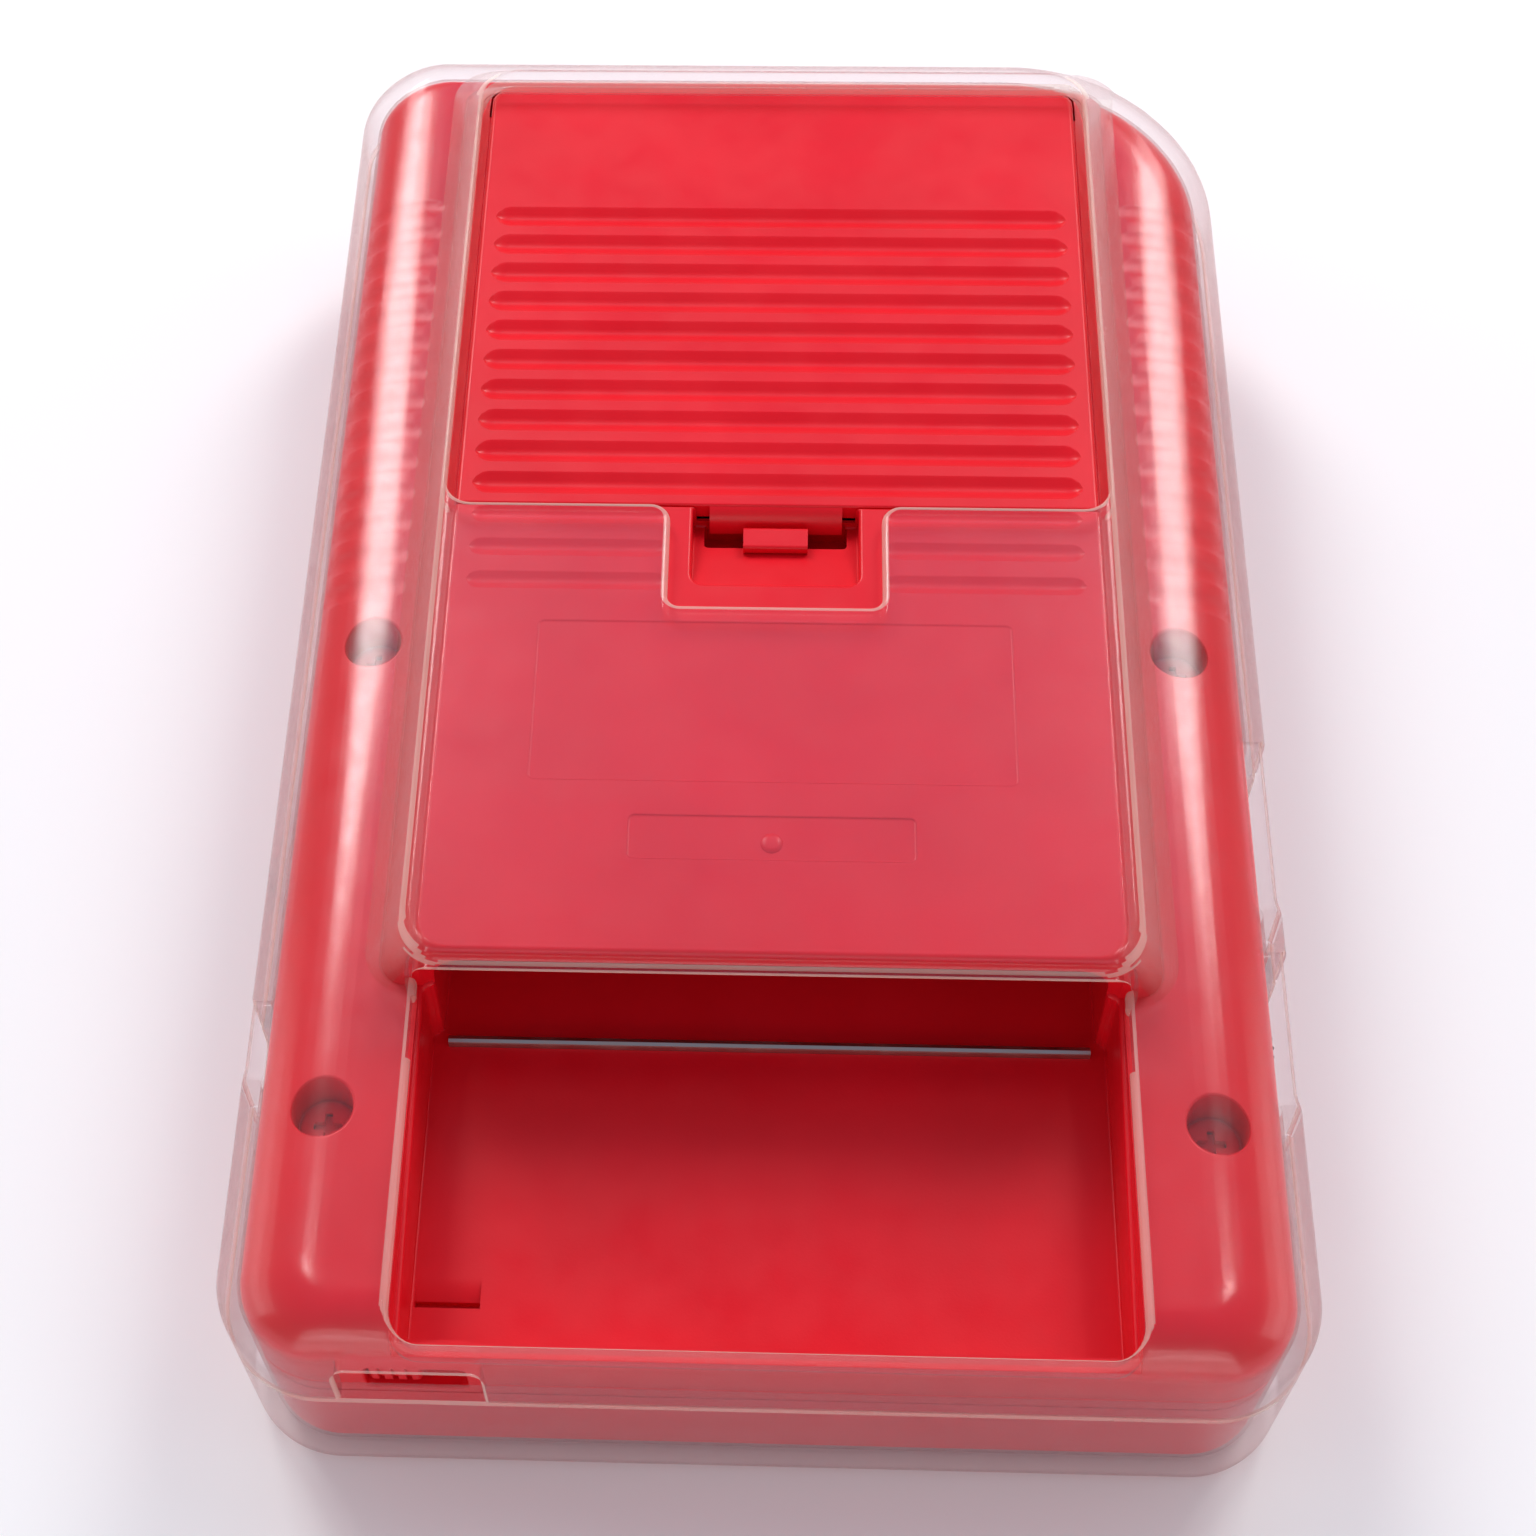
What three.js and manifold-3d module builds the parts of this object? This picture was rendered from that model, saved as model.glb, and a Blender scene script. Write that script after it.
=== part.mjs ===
// A handheld game console lying on its screen in a clear two-piece protective case.
// Millimetres, +Z up. The origin is the centre of the footprint on the surface below.
// +Y runs from the cartridge end (near) to the battery end (far), +X to the console's right.
import * as THREE from 'three';
import { mergeVertices } from 'three/addons/utils/BufferGeometryUtils.js';
import Module from 'manifold-3d';

const wasm = await Module();
wasm.setup();

// ---- driving dimensions -------------------------------------------------------------
const CASE = { halfWidth: 47, halfLength: 76, height: 36, wall: 1.7 };
const CASE_SPLIT = 17.9;          // height where the two case halves meet
const SHOULDER = 29.1;            // case top beside the hump
const GAP = 0.3;                  // clearance between neighbouring pieces
const SHELL_OFFSET = CASE.wall + GAP;
const SHELL_WALL = 1.8;
const SHELL_SPLIT = 15;           // height where the two console halves meet
const CORNER = { nearLeft: 9, nearRight: 9, farRight: 20, farLeft: 8 };
const TOP_EDGE = { side: 6.5, near: 7, far: 4, rise: 6.5 };
const FACE_EDGE = { side: 2.5, near: 2.5, far: 2.5, rise: 2.5 };

const HUMP = { halfWidth: 32.1, near: -42.8, far: 65, flare: 0.58, farSlope: 1.01 };
const HUMP_EDGE = { round: 0.9, corner: 4.4, margin: 1.8 };
const DOOR = { halfWidth: 30.1, near: 8.1, far: 62.2, thick: 1.8, hingeY: 61.6, hingeZ: 33.4 };
const DOOR_CUTOUT = { halfWidth: 31.9, near: 6.9, far: 62.7, corner: 2 };
const LATCH_CUTOUT = { halfWidth: 10.1, near: -5, corner: 1.2 };
const LATCH_POCKET = { halfWidth: 8, near: -1.2, far: 9, floor: 31 };
const LATCH_WELL = { halfWidth: 6.9, near: 4.6, floor: 28.5 };
const GROOVE = { first: 45.6, pitch: 3.884, count: 10, halfLength: 29, width: 1.2, depth: 0.6 };
const RECESS = { halfWidth: 30.9, floor: 17.6, bayEnd: -10.4, bayTop: 31.2, bayHalfWidth: 29.9 };
const CART_CUTOUT = { halfWidth: 31.3, near: -73.9, far: -39, top: 34.2, corner: 2.5 };
const SWITCH_CUTOUT = { left: -36.1, right: -23.7, high: 24.2, lipInset: 0.4, lipHigh: 20.4 };
const LINK_CUTOUT = { near: -30, far: -12, low: 11, high: 25 };
const VOLUME_CUTOUT = { near: -49.5, far: -34.5, low: 11, high: 25 };
const CONTRAST_CUTOUT = { near: -48.8, far: -41, low: 14, high: 24.4 };
const SCREWS = [[-38.9, -52.7], [38.9, -52.7], [-38.9, -3.6], [38.9, -3.6], [-14.8, 59], [14.8, 59]];
const POST_RADIUS = 3.6;
const SCREW = { head: 2.45, shank: 1.3, shoulderSeat: 21, baySeat: 16, tip: 6.2 };

const CELL = { radius: 7.1, pitch: 14.8, z: 24.4, near: 11, far: 59.4, nub: 1.1 };
const BAY = { halfWidth: 30, near: 8.2, far: 61.8, floor: 17, lid: 31.9, wall: 1.4 };

const SWITCH = { left: -34.2, right: -25.4, low: 15.8, high: 20.4, back: -71.6,
  blockFar: -68, blockTop: 21 };
const SWITCH_KNOB = { left: -34, right: -29.4 };
const LINK_PORT = { near: -26.8, far: -15, low: 15.3, high: 21.4, back: 37 };
const VOLUME = { x: 39.7, y: -41.5, radius: 6.3, low: 17, high: 19.4 };
const CONTRAST = { x: -40.7, y: -44.2, radius: 5, low: 17, high: 19.4 };
const DC_JACK = { y: -22, z: 10.6, radius: 3.1 };
const PHONES = { x: -28, z: 10.6, radius: 2.8 };

const LENS = { halfWidth: 35, near: -68, far: -12, radius: 4, thick: 1.2 };
const WINDOW = { halfWidth: 24, near: -60, far: -17 };
const BATTERY_LIGHT = { x: -29.5, y: -38 };
const DPAD = { x: -25.5, y: 22, span: 12, arm: 4.2 };
const ROUND_BUTTONS = { button_a: [31, 16], button_b: [15.5, 23] };
const BUTTON_RADIUS = 5.8;
const MENU_BUTTONS = { menu_button_left: [-9, 47], menu_button_right: [7, 47] };
const MENU_BUTTON = { length: 12, width: 4, tilt: -0.45 };
const SPEAKER = { x: 30, y: 54, radius: 10.5, slots: 5, slotPitch: 4, slotHalf: 7.5, turn: -0.9 };
const BUTTON_TIP = 0.6;
const FRONT_BOARD = { low: 9, high: 10.4 };
const MAIN_BOARD = { low: 13, high: 14.4 };
const CHIP = { low: MAIN_BOARD.high + GAP, high: MAIN_BOARD.high + 1.2 };

// ---- materials -----------------------------------------------------------------------
const finish = (color, roughness, metalness = 0) => ({ color, roughness, metalness });
const CLEAR = { ...finish(0xd9d5ce, 0.08), transparent: true, opacity: 0.3 };
const RED = finish(0xd81a2c, 0.42);
const DARK = finish(0x2b2b2e, 0.55);
const GREY = finish(0x8f8f94, 0.5);
const RUBBER = finish(0x4a4c50, 0.85);
const METAL = finish(0xb9bcc0, 0.3, 1);
const BOARD = finish(0x1f6a3c, 0.5);
const LENS_TINT = finish(0x33363c, 0.12);
const GLASS = finish(0x7d8465, 0.1);
const CELL_WRAP = finish(0x30343a, 0.4);

const object = new THREE.Group();

function addPart(name, solid, material) {
  const { vertProperties, triVerts } = solid.getMesh();
  const geometry = new THREE.BufferGeometry();
  geometry.setAttribute('position', new THREE.BufferAttribute(vertProperties, 3));
  geometry.setIndex(new THREE.BufferAttribute(triVerts, 1));
  geometry.computeVertexNormals();
  const mesh = new THREE.Mesh(geometry, new THREE.MeshStandardMaterial(material));
  mesh.name = name;
  object.add(mesh);
}

// ---- solids ----------------------------------------------------------------------------
function solidOf(geometry) {
  geometry.deleteAttribute('normal');
  geometry.deleteAttribute('uv');
  const merged = mergeVertices(geometry, 1e-4);
  const vertProperties = Float32Array.from(merged.attributes.position.array);
  const triVerts = Uint32Array.from(merged.index.array);
  return new wasm.Manifold(new wasm.Mesh({ numProp: 3, vertProperties, triVerts }));
}

function box([x0, x1], [y0, y1], [z0, z1]) {
  const geometry = new THREE.BoxGeometry(x1 - x0, y1 - y0, z1 - z0);
  geometry.translate((x0 + x1) / 2, (y0 + y1) / 2, (z0 + z1) / 2);
  return solidOf(geometry);
}

/** A round bar or cone along Z. */
function rod(x, y, radius, [z0, z1], topRadius = radius, sides = 12) {
  const geometry = new THREE.CylinderGeometry(topRadius, radius, z1 - z0, sides);
  geometry.rotateX(Math.PI / 2);
  geometry.translate(x, y, (z0 + z1) / 2);
  return solidOf(geometry);
}

/** A round bar along Y. */
function rodY(x, z, radius, [y0, y1], sides = 12) {
  const geometry = new THREE.CylinderGeometry(radius, radius, y1 - y0, sides);
  geometry.translate(x, (y0 + y1) / 2, z);
  return solidOf(geometry);
}

/** A round bar along X. */
function rodX(y, z, radius, [x0, x1], sides = 12) {
  const geometry = new THREE.CylinderGeometry(radius, radius, x1 - x0, sides);
  geometry.rotateZ(Math.PI / 2);
  geometry.translate((x0 + x1) / 2, y, z);
  return solidOf(geometry);
}

function roundedRectangle([x0, x1], [y0, y1], radius) {
  const shape = new THREE.Shape();
  shape.absarc(x0 + radius, y0 + radius, radius, Math.PI, 1.5 * Math.PI);
  shape.absarc(x1 - radius, y0 + radius, radius, 1.5 * Math.PI, 2 * Math.PI);
  shape.absarc(x1 - radius, y1 - radius, radius, 0, 0.5 * Math.PI);
  shape.absarc(x0 + radius, y1 - radius, radius, 0.5 * Math.PI, Math.PI);
  shape.closePath();
  return shape;
}

function prism(shape, [z0, z1]) {
  const options = { depth: z1 - z0, bevelEnabled: false, curveSegments: 4 };
  const geometry = new THREE.ExtrudeGeometry(shape, options);
  geometry.translate(0, 0, z0);
  return solidOf(geometry);
}

const roundedBlock = (xs, ys, radius, zs) => prism(roundedRectangle(xs, ys, radius), zs);

const CORNER_STEPS = 4;

/** One level of a loft: a rounded rectangle at height z, counter-clockwise from above. */
function level(halfWidth, near, far, radii, z) {
  const corners = [
    [-halfWidth + radii.nearLeft, near + radii.nearLeft, radii.nearLeft, Math.PI],
    [halfWidth - radii.nearRight, near + radii.nearRight, radii.nearRight, 1.5 * Math.PI],
    [halfWidth - radii.farRight, far - radii.farRight, radii.farRight, 0],
    [-halfWidth + radii.farLeft, far - radii.farLeft, radii.farLeft, 0.5 * Math.PI],
  ];
  const points = [];
  for (const [x, y, radius, start] of corners) {
    for (let step = 0; step <= CORNER_STEPS; step += 1) {
      const angle = start + (step / CORNER_STEPS) * 0.5 * Math.PI;
      points.push([x + radius * Math.cos(angle), y + radius * Math.sin(angle), z]);
    }
  }
  return points;
}

/** A closed solid through convex levels, lowest first. */
function loft(levels) {
  const count = levels[0].length;
  const index = [];
  for (let i = 1; i < count - 1; i += 1) {
    const top = (levels.length - 1) * count;
    index.push(0, i + 1, i, top, top + i, top + i + 1);
  }
  for (let k = 0; k < levels.length - 1; k += 1) {
    for (let i = 0; i < count; i += 1) {
      const low = k * count + i;
      const lowNext = k * count + ((i + 1) % count);
      index.push(low, lowNext, lowNext + count, low, lowNext + count, low + count);
    }
  }
  const geometry = new THREE.BufferGeometry();
  geometry.setAttribute('position', new THREE.Float32BufferAttribute(levels.flat(2), 3));
  geometry.setIndex(index);
  return solidOf(geometry);
}

/** One level of the console's outline, set in from the case's by offset and by the edge's curve. */
function outlineLevel(offset, edge, curve, z) {
  const inset = (amount) => offset + Math.max(amount - offset, 0) * curve;
  const mean = inset((edge.side + edge.near) / 2);
  const radii = {};
  for (const [corner, radius] of Object.entries(CORNER)) {
    radii[corner] = Math.max(radius - mean, 0.6);
  }
  const near = -CASE.halfLength + inset(edge.near);
  const far = CASE.halfLength - inset(edge.far);
  return level(CASE.halfWidth - inset(edge.side), near, far, radii, z);
}

/** The outline as a slab from low up to a top whose edge is rounded. */
function backSlab(offset, low) {
  const top = SHOULDER - offset;
  const rise = TOP_EDGE.rise - offset;
  const levels = [outlineLevel(offset, TOP_EDGE, 0, low)];
  const steps = 3;
  for (let step = 0; step <= steps; step += 1) {
    const angle = (step / steps) * 0.5 * Math.PI * 0.92;
    const z = top - rise * (1 - Math.sin(angle));
    levels.push(outlineLevel(offset, TOP_EDGE, 1 - Math.cos(angle), z));
  }
  return loft(levels);
}

/** The outline as a slab from a bottom whose edge is rounded up to high. */
function frontSlab(offset, high) {
  const rise = Math.max(FACE_EDGE.rise - offset, 0.4);
  const levels = [];
  const steps = 2;
  for (let step = 0; step <= steps; step += 1) {
    const angle = (1 - step / steps) * 0.5 * Math.PI;
    const z = offset + rise * (1 - Math.sin(angle));
    levels.push(outlineLevel(offset, FACE_EDGE, 1 - Math.cos(angle), z));
  }
  levels.push(outlineLevel(offset, FACE_EDGE, 0, high));
  return loft(levels);
}

/** The raised hump over the cartridge bay and the batteries. */
function hump(offset, low) {
  const flank = offset * Math.hypot(1, HUMP.flare);
  const slope = offset * Math.hypot(1, HUMP.farSlope);
  const top = CASE.height - offset;
  const humpLevel = (z, inset) => {
    const down = CASE.height - z;
    const halfWidth = HUMP.halfWidth + down * HUMP.flare - flank - inset;
    const far = HUMP.far + down * HUMP.farSlope - slope - inset;
    const radius = Math.max(HUMP_EDGE.corner - offset, 0.8);
    const radii = { nearLeft: radius, nearRight: radius, farRight: radius, farLeft: radius };
    return level(halfWidth, HUMP.near + offset + inset, far, radii, z);
  };
  return loft([humpLevel(low, 0), humpLevel(top - HUMP_EDGE.round, 0), humpLevel(top, HUMP_EDGE.round * 0.6)]);
}

/** The whole back: the slab, and the hump where it stands inside the slab's rounded corners. */
function backForm(offset, low) {
  const inset = offset + HUMP_EDGE.margin;
  const within = loft([10, 50].map((z) => outlineLevel(inset, TOP_EDGE, 0, z)));
  return backSlab(offset, low).add(hump(offset, SHOULDER - offset - 2).intersect(within));
}

const everyScrew = (make) => SCREWS.map(([x, y]) => make(x, y));
const joined = (solids) => solids.reduce((whole, solid) => whole.add(solid));

// ---- clear case -------------------------------------------------------------------------
function caseBack() {
  const low = CASE_SPLIT + GAP / 2;
  const { halfWidth: doorHalf } = DOOR_CUTOUT;
  const { halfWidth: latchHalf } = LATCH_CUTOUT;
  const { halfWidth: cartHalf } = CART_CUTOUT;
  const topZ = [31, 40];
  return backForm(0, low)
    .subtract(backForm(CASE.wall, low - 5))
    .subtract(roundedBlock([-doorHalf, doorHalf], [DOOR_CUTOUT.near, DOOR_CUTOUT.far],
      DOOR_CUTOUT.corner, topZ))
    .subtract(roundedBlock([-latchHalf, latchHalf], [LATCH_CUTOUT.near, 10],
      LATCH_CUTOUT.corner, topZ))
    .subtract(roundedBlock([-cartHalf, cartHalf], [CART_CUTOUT.near, CART_CUTOUT.far],
      CART_CUTOUT.corner, [20, CART_CUTOUT.top]))
    .subtract(box([SWITCH_CUTOUT.left, SWITCH_CUTOUT.right], [-80, -70], [10, SWITCH_CUTOUT.high]))
    .subtract(sideCutout(LINK_CUTOUT, 1))
    .subtract(sideCutout(VOLUME_CUTOUT, 1))
    .subtract(sideCutout(CONTRAST_CUTOUT, -1));
}

/** A window through the case's side wall, right for side 1 and left for side -1. */
function sideCutout({ near, far, low, high }, side) {
  const xs = side > 0 ? [40, 50] : [-50, -40];
  return box(xs, [near, far], [low, high]);
}

function caseFront() {
  const high = CASE_SPLIT - GAP / 2;
  const { left, right, lipInset, lipHigh } = SWITCH_CUTOUT;
  const lip = box([left + lipInset, right - lipInset],
    [-CASE.halfLength, -CASE.halfLength + CASE.wall - 0.2], [high - 2, lipHigh]);
  let solid = frontSlab(0, high)
    .subtract(frontSlab(CASE.wall, high + 5))
    .add(lip)
    .subtract(rod(DPAD.x, DPAD.y, 16.5, [-5, 5], 16.5, 28))
    .subtract(roundedBlock([5, 41], [6.5, 32], 9, [-5, 5]))
    .subtract(roundedBlock([-19, 16], [40.5, 53.5], 6, [-5, 5]))
    .subtract(sideCutout(LINK_CUTOUT, 1))
    .subtract(sideCutout(VOLUME_CUTOUT, 1))
    .subtract(sideCutout(CONTRAST_CUTOUT, -1))
    .subtract(rodX(DC_JACK.y, DC_JACK.z, DC_JACK.radius + 1.5, [-50, -40]))
    .subtract(rodY(PHONES.x, PHONES.z, PHONES.radius + 1.4, [70, 80]));
  for (let slot = 0; slot < SPEAKER.slots; slot += 1) {
    solid = solid.subtract(speakerSlot(slot, 2.4));
  }
  return solid;
}

function speakerSlot(slot, width) {
  const { slots, slotPitch, slotHalf, turn } = SPEAKER;
  const along = (slot - (slots - 1) / 2) * slotPitch;
  const ys = [along - width / 2, along + width / 2];
  const shape = roundedRectangle([-slotHalf, slotHalf], ys, width / 2 - 0.05);
  const geometry = new THREE.ExtrudeGeometry(shape, { depth: 10, bevelEnabled: false, curveSegments: 3 });
  geometry.rotateZ(turn);
  geometry.translate(SPEAKER.x, SPEAKER.y, -5);
  return solidOf(geometry);
}

// ---- console shells ----------------------------------------------------------------------
function shellBack() {
  const low = SHELL_SPLIT;
  const outer = backForm(SHELL_OFFSET, low);
  const inner = backForm(SHELL_OFFSET + SHELL_WALL, low - 5);
  const recessHalf = RECESS.halfWidth;
  const tubs = joined([
    box([-recessHalf - 1.5, recessHalf + 1.5], [-80, RECESS.bayEnd], [RECESS.floor - 1.7, 40]),
    box([-BAY.halfWidth - BAY.wall, BAY.halfWidth + BAY.wall],
      [BAY.near - BAY.wall - 4.5, BAY.far + BAY.wall], [BAY.floor - 1.5, 40]),
    ...everyScrew((x, y) => rod(x, y, POST_RADIUS, [low + 0.1, 40])),
  ]);
  const pocket = box([SWITCH.left - 1.4, SWITCH.right + 0.5], [-80, SWITCH.blockFar],
    [low, SWITCH.blockTop]);
  let solid = outer.subtract(inner).add(tubs.intersect(outer));
  solid = solid
    .subtract(box([-recessHalf, recessHalf], [-80, HUMP.near + SHELL_OFFSET + 0.01], [RECESS.floor, 40]))
    .subtract(roundedBay())
    .subtract(box([-BAY.halfWidth, BAY.halfWidth], [BAY.near, BAY.far], [BAY.floor, BAY.lid + 0.2]))
    .subtract(box([-DOOR.halfWidth - 0.4, DOOR.halfWidth + 0.4], [DOOR.near - 0.4, DOOR.far + 0.4],
      [DOOR.hingeZ - 1.7, 40]));
  solid = cutLatchPocket(solid);
  solid = solid.add(pocket.intersect(outer));
  solid = cutSwitchSlots(solid);
  for (const [x, y] of SCREWS) {
    solid = solid
      .subtract(rod(x, y, SCREW.head + GAP, [screwSeat(y), 30]))
      .subtract(rod(x, y, SCREW.shank + GAP, [0, 30]));
  }
  return solid
    .subtract(linkSocketSpace(LINK_PORT.back, 0, LINK_PORT.high + 0.4))
    .subtract(wheelSlot(VOLUME, 5.6, [42, 50]))
    .subtract(wheelSlot(CONTRAST, 4.8, [-50, -42]));
}

const screwSeat = (y) => (y > BAY.near ? SCREW.baySeat : SCREW.shoulderSeat);

/** The room that the link socket takes in a shell, 0.4 mm wider than the socket. */
function linkSocketSpace(left, low, high) {
  return box([left, 50], [LINK_PORT.near - 0.4, LINK_PORT.far + 0.4], [low, high]);
}

/** The cartridge bay under the hump, with rounded upper corners. */
function roundedBay() {
  const half = RECESS.bayHalfWidth;
  const shape = roundedRectangle([-half, half], [RECESS.floor - 8, RECESS.bayTop], 4);
  const depth = RECESS.bayEnd - HUMP.near + 4;
  const geometry = new THREE.ExtrudeGeometry(shape, { depth, bevelEnabled: false, curveSegments: 4 });
  geometry.rotateX(Math.PI / 2);
  geometry.translate(0, RECESS.bayEnd + 1, 0);
  return solidOf(geometry).intersect(box([-40, 40], [-60, 0], [RECESS.floor, 40]));
}

function cutLatchPocket(solid) {
  const { halfWidth, near, far, floor } = LATCH_POCKET;
  const { halfWidth: wellHalf } = LATCH_WELL;
  return solid
    .subtract(roundedBlock([-halfWidth, halfWidth], [near, far], 1, [floor, 40]))
    .subtract(box([-wellHalf, wellHalf], [LATCH_WELL.near, far], [LATCH_WELL.floor, 40]));
}

function cutSwitchSlots(solid) {
  return solid
    .subtract(box([SWITCH.left, SWITCH.right], [-80, SWITCH.back], [SWITCH.low, SWITCH.high]))
    .subtract(box([SWITCH.left + 0.4, SWITCH.right - 0.4], [-75, -70], [17.4, 19.4]))
    .subtract(box([SWITCH.left - 0.4, 0], [-70.9, -69.3], [SWITCH.low - 2, 20]).intersect(
      box([-40, SWITCH.right + 1], [-72, -68], [0, 40])));
}

function wheelSlot(wheel, halfLength, xs) {
  return box(xs, [wheel.y - halfLength, wheel.y + halfLength], [wheel.low - 0.5, wheel.high + 0.5]);
}

function shellFront() {
  const high = SHELL_SPLIT - GAP;
  let solid = frontSlab(SHELL_OFFSET, high).subtract(frontSlab(SHELL_OFFSET + SHELL_WALL, high + 5));
  for (const [x, y] of SCREWS) {
    solid = solid.add(rod(x, y, 3.2, [3, high])).subtract(rod(x, y, 1.5, [5.5, 40]));
  }
  const lensHalf = LENS.halfWidth + 0.3;
  solid = solid
    .subtract(roundedBlock([-lensHalf, lensHalf], [LENS.near - 0.3, LENS.far + 0.3], LENS.radius, [0, 3.3]))
    .subtract(roundedBlock([-WINDOW.halfWidth, WINDOW.halfWidth], [WINDOW.near, WINDOW.far], 1, [0, 6]))
    .subtract(prism(plusShape(DPAD.span + 0.5, DPAD.arm + 0.5), [0, 6]))
    .subtract(linkSocketSpace(40, 13.4, 20))
    .subtract(rod(BATTERY_LIGHT.x, BATTERY_LIGHT.y, 1.6, [3, 4.1]))
    .subtract(rodX(DC_JACK.y, DC_JACK.z, DC_JACK.radius + GAP, [-50, -40]))
    .subtract(rodY(PHONES.x, PHONES.z, PHONES.radius + GAP, [70, 80]));
  for (const [x, y] of Object.values(ROUND_BUTTONS)) {
    solid = solid.subtract(rod(x, y, BUTTON_RADIUS + 0.4, [0, 6], BUTTON_RADIUS + 0.4, 20));
  }
  for (const [x, y] of Object.values(MENU_BUTTONS)) {
    solid = solid.subtract(menuPill(x, y, 0.4, [0, 6]));
  }
  for (let slot = 0; slot < SPEAKER.slots; slot += 1) {
    solid = solid.subtract(speakerSlot(slot, 1.6));
  }
  return solid;
}

function plusShape(span, arm) {
  const corners = [
    [arm, arm], [arm, span], [-arm, span], [-arm, arm], [-span, arm], [-span, -arm],
    [-arm, -arm], [-arm, -span], [arm, -span], [arm, -arm], [span, -arm], [span, arm],
  ];
  return new THREE.Shape(corners.map(([x, y]) => new THREE.Vector2(DPAD.x + x, DPAD.y + y)));
}

function menuPill(x, y, margin, [z0, z1]) {
  const halfLength = MENU_BUTTON.length / 2 + margin;
  const halfWidth = MENU_BUTTON.width / 2 + margin;
  const shape = roundedRectangle([-halfLength, halfLength], [-halfWidth, halfWidth], halfWidth - 0.05);
  const options = { depth: z1 - z0, bevelEnabled: false, curveSegments: 4 };
  const geometry = new THREE.ExtrudeGeometry(shape, options);
  geometry.rotateZ(MENU_BUTTON.tilt);
  geometry.translate(x, y, z0);
  return solidOf(geometry);
}

// ---- battery door, latch and cells ---------------------------------------------------------
function batteryDoor() {
  const top = CASE.height - SHELL_OFFSET;
  const low = top - DOOR.thick;
  const half = GROOVE.halfLength;
  let solid = box([-DOOR.halfWidth, DOOR.halfWidth], [DOOR.near, DOOR.far], [low, top]);
  for (let row = 0; row < GROOVE.count; row += 1) {
    const y = GROOVE.first - row * GROOVE.pitch;
    const ys = [y - GROOVE.width / 2, y + GROOVE.width / 2];
    solid = solid.subtract(box([-half, half], ys, [top - GROOVE.depth, top + 1]));
  }
  return solid.add(box([-6.5, 6.5], [6.7, DOOR.near + 1], [low, low + 1]));
}

/** The springy catch under the door's near edge. */
function doorLatch() {
  const low = 29.2;
  return joined([
    box([-3, 3], [5, 6.1], [low, 33]),
    box([-3, 3], [3.8, 6.1], [32, 33]),
    box([-3, 3], [5, 8.9], [low, low + 0.9]),
  ]);
}

function batteryCell(x, nubSide) {
  const body = rodY(x, CELL.z, CELL.radius, [CELL.near, CELL.far], 18);
  const nub = nubSide > 0 ? [CELL.far - 1, CELL.far + CELL.nub] : [CELL.near - CELL.nub, CELL.near + 1];
  return body.add(rodY(x, CELL.z, 2.6, nub, 12));
}

/** A thin plate across the given cells, with a stubby spring for each flat cell end. */
function batteryContact(xs, atFar) {
  const wallY = atFar ? BAY.far - 0.3 : BAY.near + 0.3;
  const faceY = atFar ? wallY - 0.4 : wallY + 0.4;
  const left = Math.min(...xs) - 4.5;
  const right = Math.max(...xs) + 4.5;
  const plateY = [Math.min(wallY, faceY), Math.max(wallY, faceY)];
  let solid = box([left, right], plateY, [CELL.z - 4.5, CELL.z + 4.5]);
  for (const x of xs) {
    const springs = nubSideOf(x) > 0 ? !atFar : atFar;
    if (springs) {
      const span = atFar ? [CELL.far + GAP, faceY + 0.2] : [faceY - 0.2, CELL.near - GAP];
      solid = solid.add(rodY(x, CELL.z, 3, span, 12));
    }
  }
  return solid;
}

const cellX = (i) => (i - 1.5) * CELL.pitch;
const nubSideOf = (x) => (Math.round(x / CELL.pitch + 1.5) % 2 === 0 ? 1 : -1);

// ---- controls ----------------------------------------------------------------------------
function dpad() {
  const top = prism(plusShape(DPAD.span, DPAD.arm), [BUTTON_TIP + 0.5, 4]);
  const flange = rod(DPAD.x, DPAD.y, 13, [5, 5.7], 13, 24);
  const core = rod(DPAD.x, DPAD.y, 4, [3.5, 5.2], 4, 16);
  const pivotSeat = rod(DPAD.x, DPAD.y, 1.5, [4.6, 9]);
  return top.add(flange).add(core).subtract(pivotSeat);
}

function roundButton(x, y) {
  const cap = rod(x, y, BUTTON_RADIUS - 0.4, [BUTTON_TIP, 1.4], BUTTON_RADIUS, 20);
  const stem = rod(x, y, BUTTON_RADIUS, [1.4, 5.4], BUTTON_RADIUS, 20);
  const flange = rod(x, y, BUTTON_RADIUS + 1.2, [4.4, 5.4], BUTTON_RADIUS + 1.2, 20);
  return joined([cap, stem, flange]);
}

function menuButton(x, y) {
  return menuPill(x, y, 0, [1, 5.6]).add(menuPill(x, y, 1, [4.6, 5.6]));
}

function wheel({ x, y, radius, low, high }) {
  const through = [low - 1, high + 1];
  const teeth = 14;
  let solid = rod(x, y, radius, [low, high], radius, 28);
  for (let tooth = 0; tooth < teeth; tooth += 1) {
    const angle = (tooth / teeth) * 2 * Math.PI;
    const notchX = x + radius * Math.cos(angle);
    const notchY = y + radius * Math.sin(angle);
    solid = solid.subtract(rod(notchX, notchY, 0.4, through, 0.4, 6));
  }
  return solid.subtract(rod(x, y, 1.6, through));
}

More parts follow.
